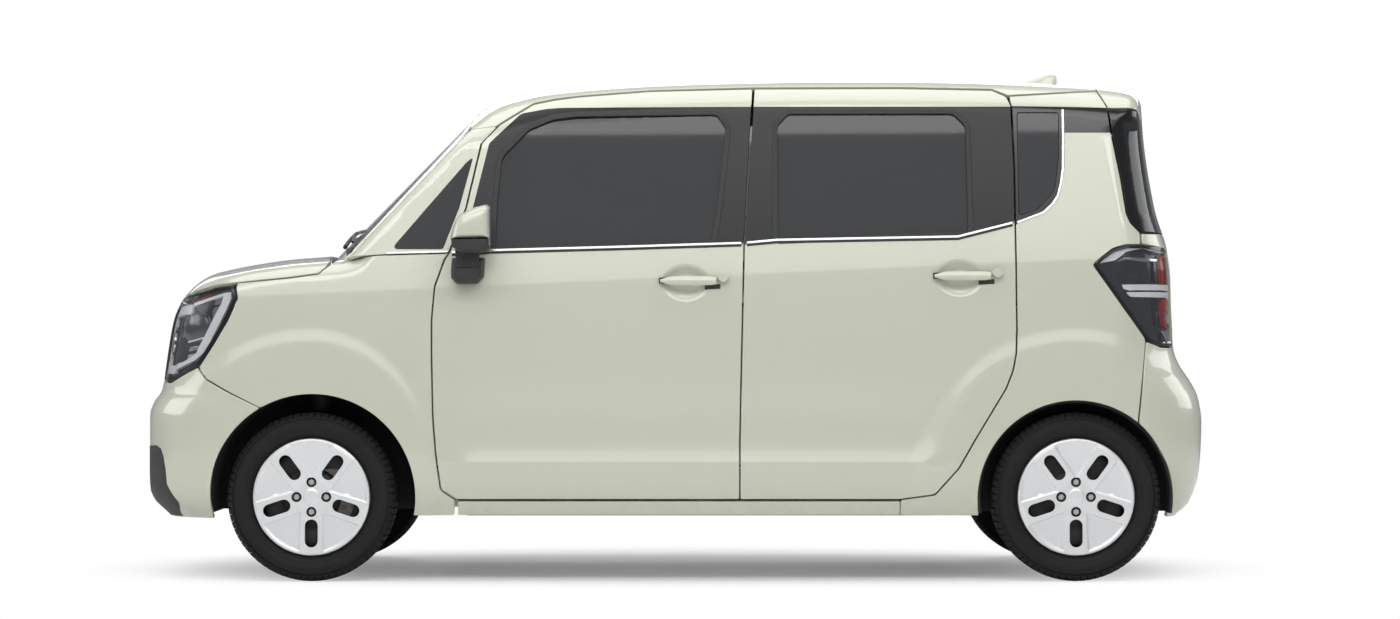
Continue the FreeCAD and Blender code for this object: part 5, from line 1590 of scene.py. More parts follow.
class CITYCAR_OT_wheels(bpy.types.Operator):
    """Builds the four wheels: tyres with their tread, steel rims, slotted covers and nuts"""

    bl_idname = "citycar.wheels"
    bl_label = "Wheels and tyres"

    def tread(self, looks, depth):
        """One pitch of the tread: five blocks across the tyre, at the tyre's top."""
        solid = Solid()
        half = math.pi / TREAD_PITCHES * 0.80
        floor = TYRE_R - depth
        for low, high, lean in ((-81, -49, 0.5), (-43, -17, 0.35), (-12, 12, 0.0), (17, 43, -0.35),
                                (49, 81, -0.5)):
            rings = []
            for share in (0.0, 0.3, 0.7, 1.0):
                y = low + (high - low) * share
                drop = 15.5 * max(0.0, (abs(y) - 50) / 31) ** 2
                slant = lean * (share - 0.5) * half
                inner = min(floor - 1.5, TYRE_R - drop - 3.5)
                rings.append([((TYRE_R - drop) * math.sin(slant - half), y,
                               (TYRE_R - drop) * math.cos(slant - half)),
                              ((TYRE_R - drop) * math.sin(slant), y, (TYRE_R - drop) * math.cos(slant)),
                              ((TYRE_R - drop) * math.sin(slant + half), y,
                               (TYRE_R - drop) * math.cos(slant + half)),
                              (inner * math.sin(slant + half), y, inner * math.cos(slant + half)),
                              (inner * math.sin(slant - half), y, inner * math.cos(slant - half))])
            solid.loft(rings)
        return repeated(solid.mesh("tread_pitch", looks, sharp=30), TREAD_PITCHES,
                        2 * math.pi / TREAD_PITCHES)

    def tyre(self, depth):
        """The carcass with its moulded tread."""
        rubber = ["tyre_rubber"]
        floor = TYRE_R - depth
        carcass = Solid()
        wall = [(58, 190), (63.5, 199), (70, 206), (75.5, 212), (76.8, 215), (76.8, 218), (78.8, 221),
                (81.2, 229), (82.3, 236), (81.8, 245), (80.9, 248.4), (81.6, 249.4), (81.6, 250.8),
                (80.4, 252), (78.4, 257), (75.5, 260.5), (66, floor - 2.5), (50, floor)]
        profile = wall + [(46.2, floor - 0.3), (0.0, floor)] + [(-a, r) for a, r in reversed(wall)]
        carcass.turned(profile, (0, 0, 0), count=144)
        return joined("tyre", [carcass.mesh("carcass", rubber, sharp=24), self.tread(rubber, depth)])

    def slot(self, angle):
        """A slot of the cover, with round ends, at that angle from the bottom."""
        long_way = np.array([math.sin(angle), -math.cos(angle)])
        wide_way = np.array([math.cos(angle), math.sin(angle)])
        loop = []
        for end, half in ((SLOT_OUT - SLOT_HALF, SLOT_HALF), (SLOT_IN + SLOT_HALF, -SLOT_HALF)):
            loop += [long_way * (end + half * math.cos(t)) + wide_way * half * math.sin(t)
                     for t in np.linspace(-math.pi / 2, math.pi / 2, 11)]
        return resample(np.array(loop), 6)

    def cover(self):
        """The moulded wheel cover with its slots and nut wells."""
        face = Shape()
        angles = [2 * math.pi * k / SLOT_COUNT for k in range(SLOT_COUNT)]
        slots = [self.slot(angle) for angle in angles]
        nuts = [circle(NUT_CIRCLE_R * math.cos(a), NUT_CIRCLE_R * math.sin(a), 16.5, 22)
                for a in np.arange(NUT_COUNT) * NUT_PITCH]
        rings = [circle(0, 0, r, int(r * 0.9)) for r in (180, 183, 186, 189, 191)]
        radii = np.linspace(58, 182, 26)
        for angle in angles:
            for side in (-1, 1):
                for aside in (31, 34, 37, 40):
                    turn = angle + side * np.arcsin((aside + 0.03 * radii) / radii)
                    rings.append(np.stack([radii * np.sin(turn), -radii * np.cos(turn)], axis=-1))
        panel(face, Field((0, 0, 0), cover_height), [circle(0, 0, COVER_R, 150)] + slots + nuts, 0, 3.0,
              7.5, 2.0, rows=rings)
        return face.mesh("cover", ["wheel_cover_silver"])

    def cap(self):
        """The plain cap at the cover's middle."""
        cap = Solid()
        cap.turned([(64, 0.01), (64, 26.2), (69.6, 26.2), (70.6, 25.2), (71.6, 20), (72.3, 12),
                    (72.6, 0.01)], (0, 0, 0), count=72)
        return cap.mesh("cap", ["wheel_cover_silver"])

    def steel(self):
        """The steel rim, disc and hub, with the nut wells and nuts."""
        steel, cup, nut = Solid(), Solid(), Solid()
        steel.turned([(69, 193.5), (70.5, 189), (69, 185.5), (61, 178), (52, 168), (-58, 168), (-69, 180),
                      (-69, 193.5), (-64, 193.5), (-64, 181), (-54, 173), (54, 173), (63, 181),
                      (64, 193.5)], (0, 0, 0), count=120)
        steel.turned([(57, 30), (58, 40), (52, 56), (38, 74), (30, 96), (42, 132), (36, 160), (24, 170),
                      (18, 170), (30, 156), (35, 132), (24, 96), (32, 72), (46, 54), (50, 40), (50, 30)],
                     (0, 0, 0), count=120)
        steel.turned([(60, 0.01), (60, 27), (56, 29), (48, 29), (48, 0.01)], (0, 0, 0), count=48)
        cup.turned([(55, 16.4), (64.5, 18.2), (65.5, 17.2), (57, 15), (57, 11), (53, 11), (53, 16.4)],
                   (NUT_CIRCLE_R, 0, 0), count=32)
        hexagon = [(11.5 * math.cos(math.pi / 3 * k), 11.5 * math.sin(math.pi / 3 * k)) for k in range(6)]
        nut.loft([[(NUT_CIRCLE_R + a * s, -y, b * s) for a, b in hexagon]
                  for y, s in ((50, 1.0), (63, 1.0), (65.5, 0.86))])
        nut.turned([(65.5, 7.4), (66.4, 6.8), (66.4, 4.6), (64.0, 4.2), (64.0, 0.01), (60.0, 0.01),
                    (60.0, 7.4)], (NUT_CIRCLE_R, 0, 0), count=24)
        return [steel.mesh("steel", ["black_steel"]),
                repeated(cup.mesh("cup", ["black_steel"]), NUT_COUNT, NUT_PITCH),
                repeated(nut.mesh("nut", ["zinc_nut"]), NUT_COUNT, NUT_PITCH)]

    def execute(self, context):
        Car.get()
        tyre = self.tyre(context.scene.city_car_sizes.tread_depth / MM)
        wheel = joined("wheel", [self.cover(), self.cap()] + self.steel())
        for end, axle_x in (("front", FRONT_AXLE_X), ("rear", REAR_AXLE_X)):
            for hand, flip in (("left", 1), ("right", -1)):
                body = "wheel_" + end + "_" + hand
                shift_by = Matrix.Translation(Vector((axle_x, flip * -TRACK_HALF, AXLE_Z)) * MM)
                for kind, mesh, stem, slot in (("tyre_dressed_", tyre, "tyre_", "tyre"),
                                               ("wheel_dressed_", wheel, "wheel_", "cover")):
                    copy = mesh.copy()
                    if flip < 0:
                        copy.transform(Matrix.Scale(-1, 4, Vector((0, 1, 0))))
                        copy.flip_normals()
                    copy.transform(shift_by)
                    place(kind + end + "_" + hand, copy, body, [stem + end + "_" + hand])
        return {"FINISHED"}


# The strips across the tail lamp's inner part: low and high z, zone and depth
TAIL_INBOARD = ((1062, 1082, 4, 5), (980, 1050, 4, 9), (960, 976, 3, 11), (935, 956, 2, 7), (890, 928, 5, 9),
                (846, 884, 3, 12), (832, 840, 4, 5), (792, 822, 3, 12))


class CITYCAR_OT_lamps(bpy.types.Operator):
    """Builds the head and tail lamps: housings, light bands, reflectors and lenses"""

    bl_idname = "citycar.lamps"
    bl_label = "Lamps"

    def stack(self, chart, outline, features):
        """A lamp: a deep housing and the features that stand in it at their own depths."""
        shape = Shape()
        panel(shape, chart, [resample(grown(outline, -3), 9)], 30, 16, 22, 1.5, base=0)
        for loop, depth, thick, number in features:
            panel(shape, chart, [resample(forward(loop), 8)], depth, thick, 10, 1.0, base=number)
        return shape

    def drawn(self, body, chart, layers):
        """Features whose outlines are given in the side view, with their depths, thicknesses and zones."""
        return [(forward(body.on(chart, resample(np.array(outline, float), 9))), *layer)
                for outline, *layer in layers]

    def projector(self, body, nose):
        """The headlamp's projector: a barrel and a domed glass that look ahead."""
        glass = Solid()
        at = nose.at(body.on("nose", [PROJECTOR_PLACE]))[0]
        out = nose.normal(body.on("nose", [PROJECTOR_PLACE]), at[None])[0]
        out = unit(*(out * [1, 1, 0.2]))
        centre = at - out * 52
        radius = PROJECTOR_R
        glass.turned([(-6, 0.01), (-6, radius * 1.16), (14, radius * 1.16), (16, radius * 1.1),
                      (8, radius * 1.04), (8, 0.01)], centre, out, 48, 0)
        dome = [(7, 0.01), (7, radius)] + [(7 + 26 * math.sin(t), radius * math.cos(t) + 0.01)
                                           for t in np.linspace(0, math.pi / 2, 9)]
        glass.turned(dome, centre, out, 48, 1)
        both_sides(glass, "headlamp_projector_{}", ["bright_reflector", "projector_glass"],
                   "body", "lamp_clear")

    def headlamps(self, body):
        nose = body.charts["nose"]
        top = body.nose_top() - [0, HALF_GAP + 0.4]
        top = top[top[:, 0] < -429]
        side = body.on("nose", open_line([p[:2] for p in HEADLAMP_SIDE], 8))
        lamp = forward(np.concatenate([side, [(-431.5, 656.0), (-431.5, top[-1, 1])], top[::-1]]))
        lamp = grown(lamp, -2.2)
        features = self.drawn(body, "nose", (
            (LAMP_BAND, 12, 14, 2), (LAMP_HOOK, 9, 16, 2), (LAMP_REFLECTOR, 19, 6, 3), (LAMP_WEDGE, 16, 6, 1),
            (LAMP_LINE, 14, 5, 2), (LAMP_FIN_HIGH, 17, 6, 3), (LAMP_FIN_LOW, 17, 6, 3),
            (LAMP_INLAY, 8, 4, 4)))
        corner = body.on("nose", [(-1668, 700), (-1606, 918)])
        low_u, high_u = corner[:, 0]
        inboard = [np.array([(-445, 872), (high_u, 884), (high_u, 916), (-470, 900), (-445, 896)]),
                   np.array([(-445, 690), (-470, 684), (low_u, 684), (low_u, 712), (-480, 712), (-468, 724),
                             (-468, 872), (-445, 872)])]
        features += [(forward(l), 10, 12, 2) for l in inboard]
        features.append((circle(-540, 790, 52, 40), 15, 8, 3))
        features.append((circle(-540, 790, 36, 30), 12, 8, 1))
        looks = ["lamp_grey", "gloss_black", "light_bar", "bright_reflector", "red_lens"]
        housing = self.stack(nose, lamp, features)
        both_sides(housing, "headlamp_inside_{}", looks, "body", "lamp_clear", ["headlamps"])
        lens = Shape()
        panel(lens, nose, [lamp], 0.6, 3.0, 20, 1.4, zones=[(resample(grown(lamp, -9), 8), 1)])
        both_sides(lens, "headlamp_lens_{}", ["gloss_black", "clear_lens"], "body", "lamp_clear")
        self.projector(body, nose)

    def tail_lamps(self, body):
        tail = body.charts["tail"]
        side = body.on("tail", open_line(TAIL_LAMP_SIDE, 8))
        lamp = forward(np.concatenate([side, [(-590.0, 1100.0), (-590.0, 774.0)]]))
        lamp = grown(lamp, -1.0)
        edge_u = body.on("tail", [(1640, 1000)])[0, 0]
        # The first two features are painted highlights under the smoked lens.
        features = self.drawn(body, "tail", (
            (TAIL_PAINTED_HIGHLIGHT, 7, 8, 2), (TAIL_PAINTED_GLINT, 13, 6, 3), (TAIL_BAR_HIGH, 7, 10, 2), (TAIL_BAR_LOW, 7, 10, 2),
            (TAIL_RED_HIGH, 5, 12, 4), (TAIL_RED_LOW, 5, 12, 4), (TAIL_FOOT, 8, 6, 3)))
        for low, high, number, deep in TAIL_INBOARD:
            strip = np.array([(edge_u + 5, low), (-602, low), (-602, high), (edge_u + 5, high)], float)
            features.append((strip, deep, 10, number))
        looks = ["gloss_black", "gloss_black", "light_bar", "bright_reflector", "red_lens", "amber_lens"]
        housing = self.stack(tail, lamp, features)
        both_sides(housing, "tail_lamp_inside_{}", looks, "body", "lamp_smoked", ["tail_lamps"])
        lens = Shape()
        panel(lens, tail, [lamp], 0.2, 3.0, 20, 1.4, zones=[(resample(grown(lamp, -8), 8), 1)])
        both_sides(lens, "tail_lamp_lens_{}", ["gloss_black", "clear_lens"], "body", "lamp_smoked")

    def execute(self, context):
        body = Car.get()
        self.headlamps(body)
        self.tail_lamps(body)
        return {"FINISHED"}


MIRROR_CAP = [(-732.5, 1123.8), (-727, 1152), (-717, 1186), (-704, 1201), (-683.5, 1214.5), (-650, 1230),
              (-612.7, 1239.5, 8), (-603, 1230), (-601, 1126)]
MIRROR_CASE = [(-730, 1123.6), (-601, 1126), (-601, 1100, 10), (-612, 1084, 10), (-650, 1078),
               (-700, 1080, 20),
               (-727, 1100, 10)]
MIRROR_FOOT = [(-733, 1066, 6), (-736, 1030, 8), (-736, 1000, 14), (-716, 979, 14), (-650, 980, 14),
               (-628, 1004, 8),
               (-626, 1040), (-624, 1066, 4)]
# Each wiper on the windscreen as (y, z): its pivot, its arm's tip and its blade's two ends
WIPERS = (((-600, 1122), (-330, 1158), (-560, 1142), (-60, 1168)),
          ((-20, 1126), (250, 1164), (0, 1148), (520, 1176)))
WIPER_UP = (-0.7, 0, 0.7)
# Each arch wall: its centre along and up, its radius and its inner and outer y
ARCH_WALLS = ((FRONT_ARCH_X, 280.0, 345.0, 440.0, 446.0), (REAR_ARCH_X, 275.0, 321.0, 592.0, 598.0))
FIN_RINGS = ((1676, 1196, 1330, 17), (1690, 1214, 1328, 13), (1704, 1246, 1326, 8), (1714, 1276, 1322, 5),
             (1718, 1290, 1316, 2.5))
INTAKE_MIDDLE_Z = 369
INTAKE_HEIGHT = 118
HANDLE_SPAN = (-48.0, 137.0)
HANDLE_Z = (976.0, 1005.0)
CAP_SPAN = (140.0, 178.0)


class CITYCAR_OT_fittings(bpy.types.Operator):
    """Builds the handles, mirrors, belt strips, corner trims, grille slats, fin, wipers and arch walls"""

    bl_idname = "citycar.fittings"
    bl_label = "Handles, mirrors and trim"

    def handles(self):
        section = [(math.cos(a) ** 3 * 0.25 + math.cos(a) * 0.75,
                    math.sin(a) ** 3 * 0.25 + math.sin(a) * 0.75)
                   for a in np.arange(20) * math.pi / 10]
        for row, dx, dz in (("front", 0.0, 0.0), ("rear", 902.0, 16.0)):
            solid = Solid()
            x = np.linspace(*HANDLE_SPAN, 26)
            mid = 0.5 * (HANDLE_Z[0] + HANDLE_Z[1])
            rings = []
            for k, xk in enumerate(x):
                share = k / (len(x) - 1)
                bow = 4 * share * (1 - share)
                end = min(1.0, 4.5 * share, 4.5 * (1 - share)
                          + 0.55) ** 0.5 if 0 < share < 1 else 0.35 + 0.5 * share
                out = 789.0 + 12 + 5 * bow
                rings.append([(xk + dx, -(out + b * 8 * end), mid + dz + a * 14.5 * end) for a, b in section])
            solid.loft(rings, 0)
            for x0, x1, z0, z1, out in ((-52, -20, 981, 1001, 799), (112, 137, 979, 1003, 799)):
                rings = [[(cx + dx, -y, cz + dz) for cx, cz in ((x0, z0), (x1, z0), (x1, z1), (x0, z1))]
                         for y in (766, out)]
                solid.loft(rings, 1)
            rings = []
            for y, s in ((768, 0.96), (797, 1.0), (804, 0.985), (806.5, 0.93)):
                cx, cz = 0.5 * sum(CAP_SPAN) + dx, 1000.5 + dz
                rings.append([(cx + a * 19 * s, -y, cz + b * 15.5 * s) for a, b in section])
            solid.loft(rings, 0)
            if row == "front":
                solid.turned([(800, 0.01), (800, 6.4), (807, 6.4), (807.4, 5.0), (806.2, 4.2), (806.2, 0.01)],
                             (118 + dx, 0, 993.6 + dz), count=24, zone=2)
            solid.loft([[(cx + dx, -y, cz + dz) for cx, cz in ((98, 962), (150, 964), (150, 980), (98, 978))]
                        for y in (764, 787)], 1)
            both_sides(solid, "door_handle_" + row + "_{}",
                       ["pearl_paint", "grained_trim", "zinc_nut"],
                       "door_" + row + "_{}", "paint", sharp=50)

    def mirrors(self):
        solid = Solid()

        def shell(outline, centre, zone, steps, spacing=9):
            loop = rounded_loop(outline, spacing)
            rings = []
            for y, s in steps:
                rings.append([(centre[0] + (x - centre[0]) * s, -y, centre[1] + (z - centre[1]) * s)
                              for x, z in loop])
            solid.loft(rings, zone)

        dome = [(822, 0.80), (824, 0.90), (830, 0.97), (842, 1.0), (884, 1.0), (912, 0.985), (930, 0.95),
                (944, 0.88),
                (953, 0.78), (959, 0.62), (961.5, 0.40)]
        shell(MIRROR_CAP, (-655, 1160), 0, dome)
        shell(MIRROR_CASE, (-655, 1122), 1, [(y, s - 0.004) for y, s in dome])
        glass_rings = ((-606, -932, -842, 1104, 1222), (-600.5, -932, -842, 1104, 1222),
                       (-599.5, -928, -846, 1107, 1219))
        solid.loft([[(x, y0, z0), (x, y1, z0), (x, y1, z1), (x, y0, z1)]
                    for x, y0, y1, z0, z1 in glass_rings], 2)
        shell(MIRROR_FOOT, (-680, 1020), 1, [(785, 1.0), (800, 1.0), (826, 0.96), (846, 0.9), (862, 0.8),
                                             (868, 0.66)])
        shell([(-716, 1030), (-640, 1032), (-640, 1110), (-720, 1110)], (-680, 1070), 1,
              [(826, 0.96), (832, 1.0), (866, 0.98), (872, 0.9)])
        both_sides(solid, "door_mirror_{}",
                   ["pearl_paint", "grained_trim", "bright_reflector"],
                   "door_front_{}", "trim_black", ["mirror_{}"], sharp=46)

    def strips(self, body):
        belt = open_line(BELT, 9)
        for name, rider, low, high in (("belt_front_{}", "door_front_{}", -741, 222),
                                       ("belt_rear_{}", "door_rear_{}", 232, 1119)):
            run = belt[(belt[:, 0] > low) & (belt[:, 0] < high)]
            shape = Shape()
            panel(shape, body.charts["side"], [body.on("side", ribbon(run + [0, 4.0], 7.5))], -4.0, 7, 12,
                  1.4, base=0)
            panel(shape, body.charts["side"], [body.on("side", ribbon(run - [0, 3.6], 7.0))], -2.2, 6, 12,
                  1.4, base=1)
            both_sides(shape, name, ["bright_strip", "seal_rubber"], rider, "trim_black")
        kick = [(1129, 1183), (1215, 1216), (1245, 1243), (1264, 1272), (1275, 1313), (1282, 1361),
                (1285, 1470),
                (1285, 1560)]
        shape = Shape()
        panel(shape, body.charts["side"], [body.on("side", ribbon(kick, 7.0))], -2.6, 6, 12, 1.4)
        both_sides(shape, "belt_quarter_{}", ["bright_strip"], "body", "trim_black")
        foot = [(-952, 1082), (-850, 1084.5), (-749, 1087)]
        shape = Shape()
        panel(shape, body.charts["pillar"], [body.on("pillar", ribbon(foot, 6.0))], -2.0, 5, 12, 1.2)
        both_sides(shape, "belt_pillar_{}", ["bright_strip"], "body", "trim_black")
        edge = body.on("nose", open_line(CORNER_TRIM, 10))
        inner = np.array([(edge[-1, 0], 211.0), (-470.0, 211.0), (-452.0, 290.0), (-470.0, 395.0),
                          (-520.0, 440.0)])
        outline = rounded_loop([tuple(p) for p in np.concatenate([edge, inner])], 9)
        shape = Shape()
        panel(shape, body.charts["nose"], [outline], -1.4, 6, 18, 1.6)
        both_sides(shape, "bumper_corner_{}", ["grained_trim"], "body", "trim_black")

    def front(self, body, pitch):
        slat = Solid()
        rings = []
        for y in np.linspace(-392, 392, 41):
            x = float(nose_x(360.0)) + NOSE_BOW * (y / BOW_Y) ** 2 + 22
            rings.append([(x + a, y, b) for a,
                          b in ((-6, -2.5), (-3, -4), (16, -3), (18, 0), (16, 3), (-3, 4), (-6, 2.5))])
        slat.loft(rings)
        count = int(INTAKE_HEIGHT / pitch)
        mesh = repeated(slat.mesh("slat", ["grained_trim"]), count, step=(0, 0, pitch),
                        centre=(0, 0, INTAKE_MIDDLE_Z - pitch * (count - 1) / 2))
        place("grille_slats", mesh, "body")
        fin = Solid()
        rings = []
        for z, x0, x1, w in FIN_RINGS:
            mid, half = 0.5 * (x0 + x1), 0.5 * (x1 - x0)
            rings.append([(mid + half * math.cos(a), w * math.sin(a), z)
                          for a in np.arange(24) * math.pi / 12])
        fin.loft(rings)
        single(fin, "roof_fin", ["pearl_paint"], "body")
        wiper = Solid()
        screen = body.charts["screen"]

        def on_screen(place_at, lift):
            uv = np.array([place_at])
            p = screen.at(uv)
            return (p + screen.normal(uv, p) * lift)[0]

        for pivot, tip, blade_start, blade_end in np.array(WIPERS, float):
            along = np.linspace(0, 1, 10)
            arm = [on_screen(pivot + (tip - pivot) * t, 16 - 2 * t) for t in along]
            wiper.sweep(arm, circle(0, 0, 6, 8), up=WIPER_UP, scale=[1.3 - 0.6 * t for t in along])
            blade = [on_screen(blade_start + (blade_end - blade_start) * t, 8 + 3 * math.sin(math.pi * t))
                     for t in np.linspace(0, 1, 24)]
            wiper.sweep(blade, [(-4, -5), (4, -5), (3, 3), (0, 5), (-3, 3)], up=WIPER_UP)
        walls = Solid()
        for x, z, radius, y0, y1 in ARCH_WALLS:
            sweep = np.radians(np.linspace(-9, 189, 60))
            for flip in (-1, 1):
                walls.loft([[(x + radius * math.cos(a), flip * y, z + radius * math.sin(a)) for a in sweep]
                            for y in (y0, y1)])
        single(walls, "arch_walls", ["arch_felt"], "body")
        single(wiper, "wipers", ["grained_trim"], "body")

    def execute(self, context):
        body = Car.get()
        self.handles()
        self.mirrors()
        self.strips(body)
        self.front(body, context.scene.city_car_sizes.slat_pitch / MM)
        return {"FINISHED"}


def cushion(name, middle, half, lean_deg, channels, crown, soft, node):
    """A padded piece: a rounded block whose faces swell and edges pull in, with sewn channels and piping."""
    n = 44
    axis = np.linspace(-1, 1, n + 1)
    points, faces = [], []
    for face_axis in range(3):
        for sign in (-1, 1):
            u, v = np.meshgrid(axis, axis, indexing="ij")
            p = np.zeros((n + 1, n + 1, 3))
            p[..., face_axis] = sign
            p[..., (face_axis + 1) % 3] = u
            p[..., (face_axis + 2) % 3] = v
            first = sum(len(q) for q in points)
            points.append(p.reshape(-1, 3))
            for i in range(n):
                for j in range(n):
                    a = first + i * (n + 1) + j
                    face = (a, a + n + 1, a + n + 2, a + 1)
                    faces.append(face if sign > 0 else face[::-1])
    cube = np.concatenate(points)
    half = np.array(half, float)
    inner = np.maximum(half - soft, 1.0)
    q = cube * half
    core = np.clip(q, -inner, inner)
    over = q - core
    length = np.linalg.norm(over, axis=1, keepdims=True)
    place_of = core + over / np.maximum(length, 1e-9) * np.minimum(length, soft)
    s = place_of / half
    swell = (1 - s ** 2).clip(0, 1)
    normal = over / np.maximum(length, 1e-9)
    top = normal[:, 2].clip(0, 1)
    place_of[:, 2] += crown * top * np.sqrt(swell[:, 0] * swell[:, 1])
    for axis_index in (0, 1):
        other = 1 - axis_index
        pull = 0.045 * (1 - swell[:, other]) - 0.03 * swell[:, other] * swell[:, 2]
        place_of[:, axis_index] *= 1 - pull.clip(-0.03, 0.05)
    for along, at, span, depth in channels:
        d = place_of[:, along] - at * half[along]
        across = 1 - along
        inside_span = step((span - np.abs(s[:, across])) / 0.08)
        place_of[:, 2] -= depth * top * inside_span * np.exp(-(d / 5.0) ** 2)
    near = np.exp(-((place_of[:, 2] - inner[2] * 0.98) / 2.6) ** 2) * (np.abs(normal[:, 2]) < 0.9)
    place_of[:, :2] += normal[:, :2] * near[:, None] * 2.2
    a = math.radians(lean_deg)
    turn = np.array([[math.cos(a), 0, math.sin(a)], [0, 1, 0], [-math.sin(a), 0, math.cos(a)]])
    world = place_of @ turn.T + np.array(middle, float)
    solid = Solid()
    solid.add(world, faces)
    mesh = solid.mesh(name, ["seat_cloth"], sharp=180)
    place(name, mesh, "body", node)


# A row of seats: its node, its pieces' stem, its front, its floor, its backs' lean in degrees and its places
# the car and the end of its frame
SEAT_ROWS = (("front_seats", "front_seat", -290, 420.0, 9.2, ((-560, -80), (80, 560)), 110),
             ("rear_bench", "rear_seat", 690, 504.0, 14.9, ((-560, -6), (6, 560)), 890))
# A sewn channel: the axis it is counted on, its share of the half size, how far it runs and its depth
CUSHION_CHANNELS = [(1, -0.58, 0.86, 8), (1, 0.58, 0.86, 8), (0, 0.1, 0.56, 5), (0, -0.45, 0.56, 5)]
BACK_CHANNELS = [(1, -0.6, 0.9, 8), (1, 0.6, 0.9, 8), (0, -0.3, 0.58, 5), (0, 0.3, 0.58, 5)]
HEADREST_CHANNELS = [(0, -0.35, 0.8, 3)]


class CITYCAR_OT_cabin(bpy.types.Operator):
    """Builds the seats, the steering wheel, the dashboard's details and the carpet"""

    bl_idname = "citycar.cabin"
    bl_label = "Cabin"

    def execute(self, context):
        Car.get()
        frame_parts = Solid()
        rod = circle(0, 0, 6, 12)
        for node, stem, x, floor_z, lean, seats, end_x in SEAT_ROWS:
            a = math.radians(lean)

            def leaned(along, up):
                """A place on the seat's back, moved round with the back's lean."""
                return np.array([x + 450 + along * math.cos(a) + up * math.sin(a), 0,
                                 floor_z + 90 + up * math.cos(a) - along * math.sin(a)])

            for hand, (y0, y1) in zip(("left", "right"), seats):
                mid, wide = np.array([0, 0.5 * (y0 + y1), 0]), 0.5 * (y1 - y0)
                cushion(stem + "_cushion_" + hand, mid + [x + 250, 0, floor_z + 78], (244, wide - 6, 66), 0,
                        CUSHION_CHANNELS, 9, 34, [node])
                cushion(stem + "_back_" + hand, mid + leaned(17.5, 305), (302, wide - 18, 58), lean - 90,
                        BACK_CHANNELS, 8, 32, [node])
                cushion(stem + "_headrest_" + hand, mid + leaned(17.5, 707), (80, 122, 44), lean - 90,
                        HEADREST_CHANNELS, 5, 28, [node])
                frame_parts.block((x + 72, y0 + 52, 345), (end_x - 2, y1 - 52, floor_z + 34), 8)
                for dy in (-60, 60):
                    frame_parts.sweep([mid + leaned(17.5, up) + [0, dy, 0] for up in (560, 610, 680)], rod,
                                      up=(1, 0, 0), zone=1)
        single(frame_parts, "seat_frames", ["cabin_plastic", "zinc_nut"], "body")
        wheel = Solid()
        tilt = math.radians(62)
        normal = Vector((math.sin(tilt), 0, math.cos(tilt)))
        centre = Vector((-480, 345, 960))
        ring = [(12.5 * math.sin(t), 176 + 13.5 * math.cos(t)) for t in np.arange(14) * math.pi / 7]
        wheel.turned(ring, centre, normal, 72, 0)
        wheel.turned([(2, 0.01), (1, 30), (-6, 52), (-18, 60), (-50, 52), (-58, 40), (-58, 0.01)], centre,
                     normal, 48, 0)
        wheel.turned([(-50, 0.01), (-50, 24), (-126, 22), (-126, 0.01)], centre, normal, 32, 0)
        across, up = Vector((0, 1, 0)), normal.cross(Vector((0, 1, 0)))
        for way in (across, -across, -up if up.z > 0 else up):
            path = [centre + way * r - normal * (26 - 24 * (r - 40) / 135) for r in (40, 85, 130, 170)]
            wheel.sweep(path, [(-17, -5), (17, -5), (19, 0), (17, 5), (-17, 5), (-19, 0)], up=normal,
                        scale=[1.25, 1.0, 0.85, 0.9], zone=1)
        single(wheel, "steering_wheel_dressed", ["cabin_plastic", "gloss_black"], "steering_wheel",
               ["steering_wheel"])
        dash = Solid()
        for low, high, zone in (((-700, 200, 990), (-560, 490, 1046), 0),
                                ((-628, -110, 905), (-600, 110, 1010), 1),
                                ((-622, -560, 940), (-604, -440, 985), 1),
                                ((-622, 460, 940), (-604, 560, 985), 1),
                                ((-640, -90, 760), (-606, 90, 880), 0)):
            dash.block(low, high, 10, zone)
        single(dash, "dashboard_fittings", ["cabin_plastic", "gloss_black"], "body")
        rug = Solid()
        rug.block((-800, -636, 344.3), (896, 636, 352), 3)
        rug.block((922, -586, 500.3), (1592, 586, 508), 3)
        single(rug, "carpet", ["carpet_pile"], "body")
        return {"FINISHED"}


# Name, place, what it is turned to, its size and its watts
STUDIO_LIGHTS = (
    ("overhead", (0.0, -0.6, 5.2), (0, 0, 0), (7.5, 3.6), 200),
    ("shoulder_bank", (0.0, -4.4, 4.3), (0, -0.8, 1.0), (8.0, 1.8), 185),
    ("left_bank", (0.0, -6.5, 3.6), (0, 0, 0.9), (9.0, 2.6), 92),
    ("right_bank", (0.0, 6.5, 3.6), (0, 0, 0.9), (9.0, 2.6), 150),
    ("front_bank", (-7.0, -1.0, 2.6), (0, 0, 0.8), (4.0, 2.4), 90),
    ("rear_bank", (7.0, 1.0, 2.6), (0, 0, 0.8), (4.0, 2.4), 90),
)
SKY_STRENGTH = 0.245
FLOOR_REACH = 60.0
# The camera stands level at the photograph's distance. The shift is a share of the picture's width
CAMERA_PLACE = (0.0945, -14.0, 0.8187)
CAMERA_LENS = 103.24
CAMERA_SHIFT = (-3.6 / 1400, 23.5 / 1400)


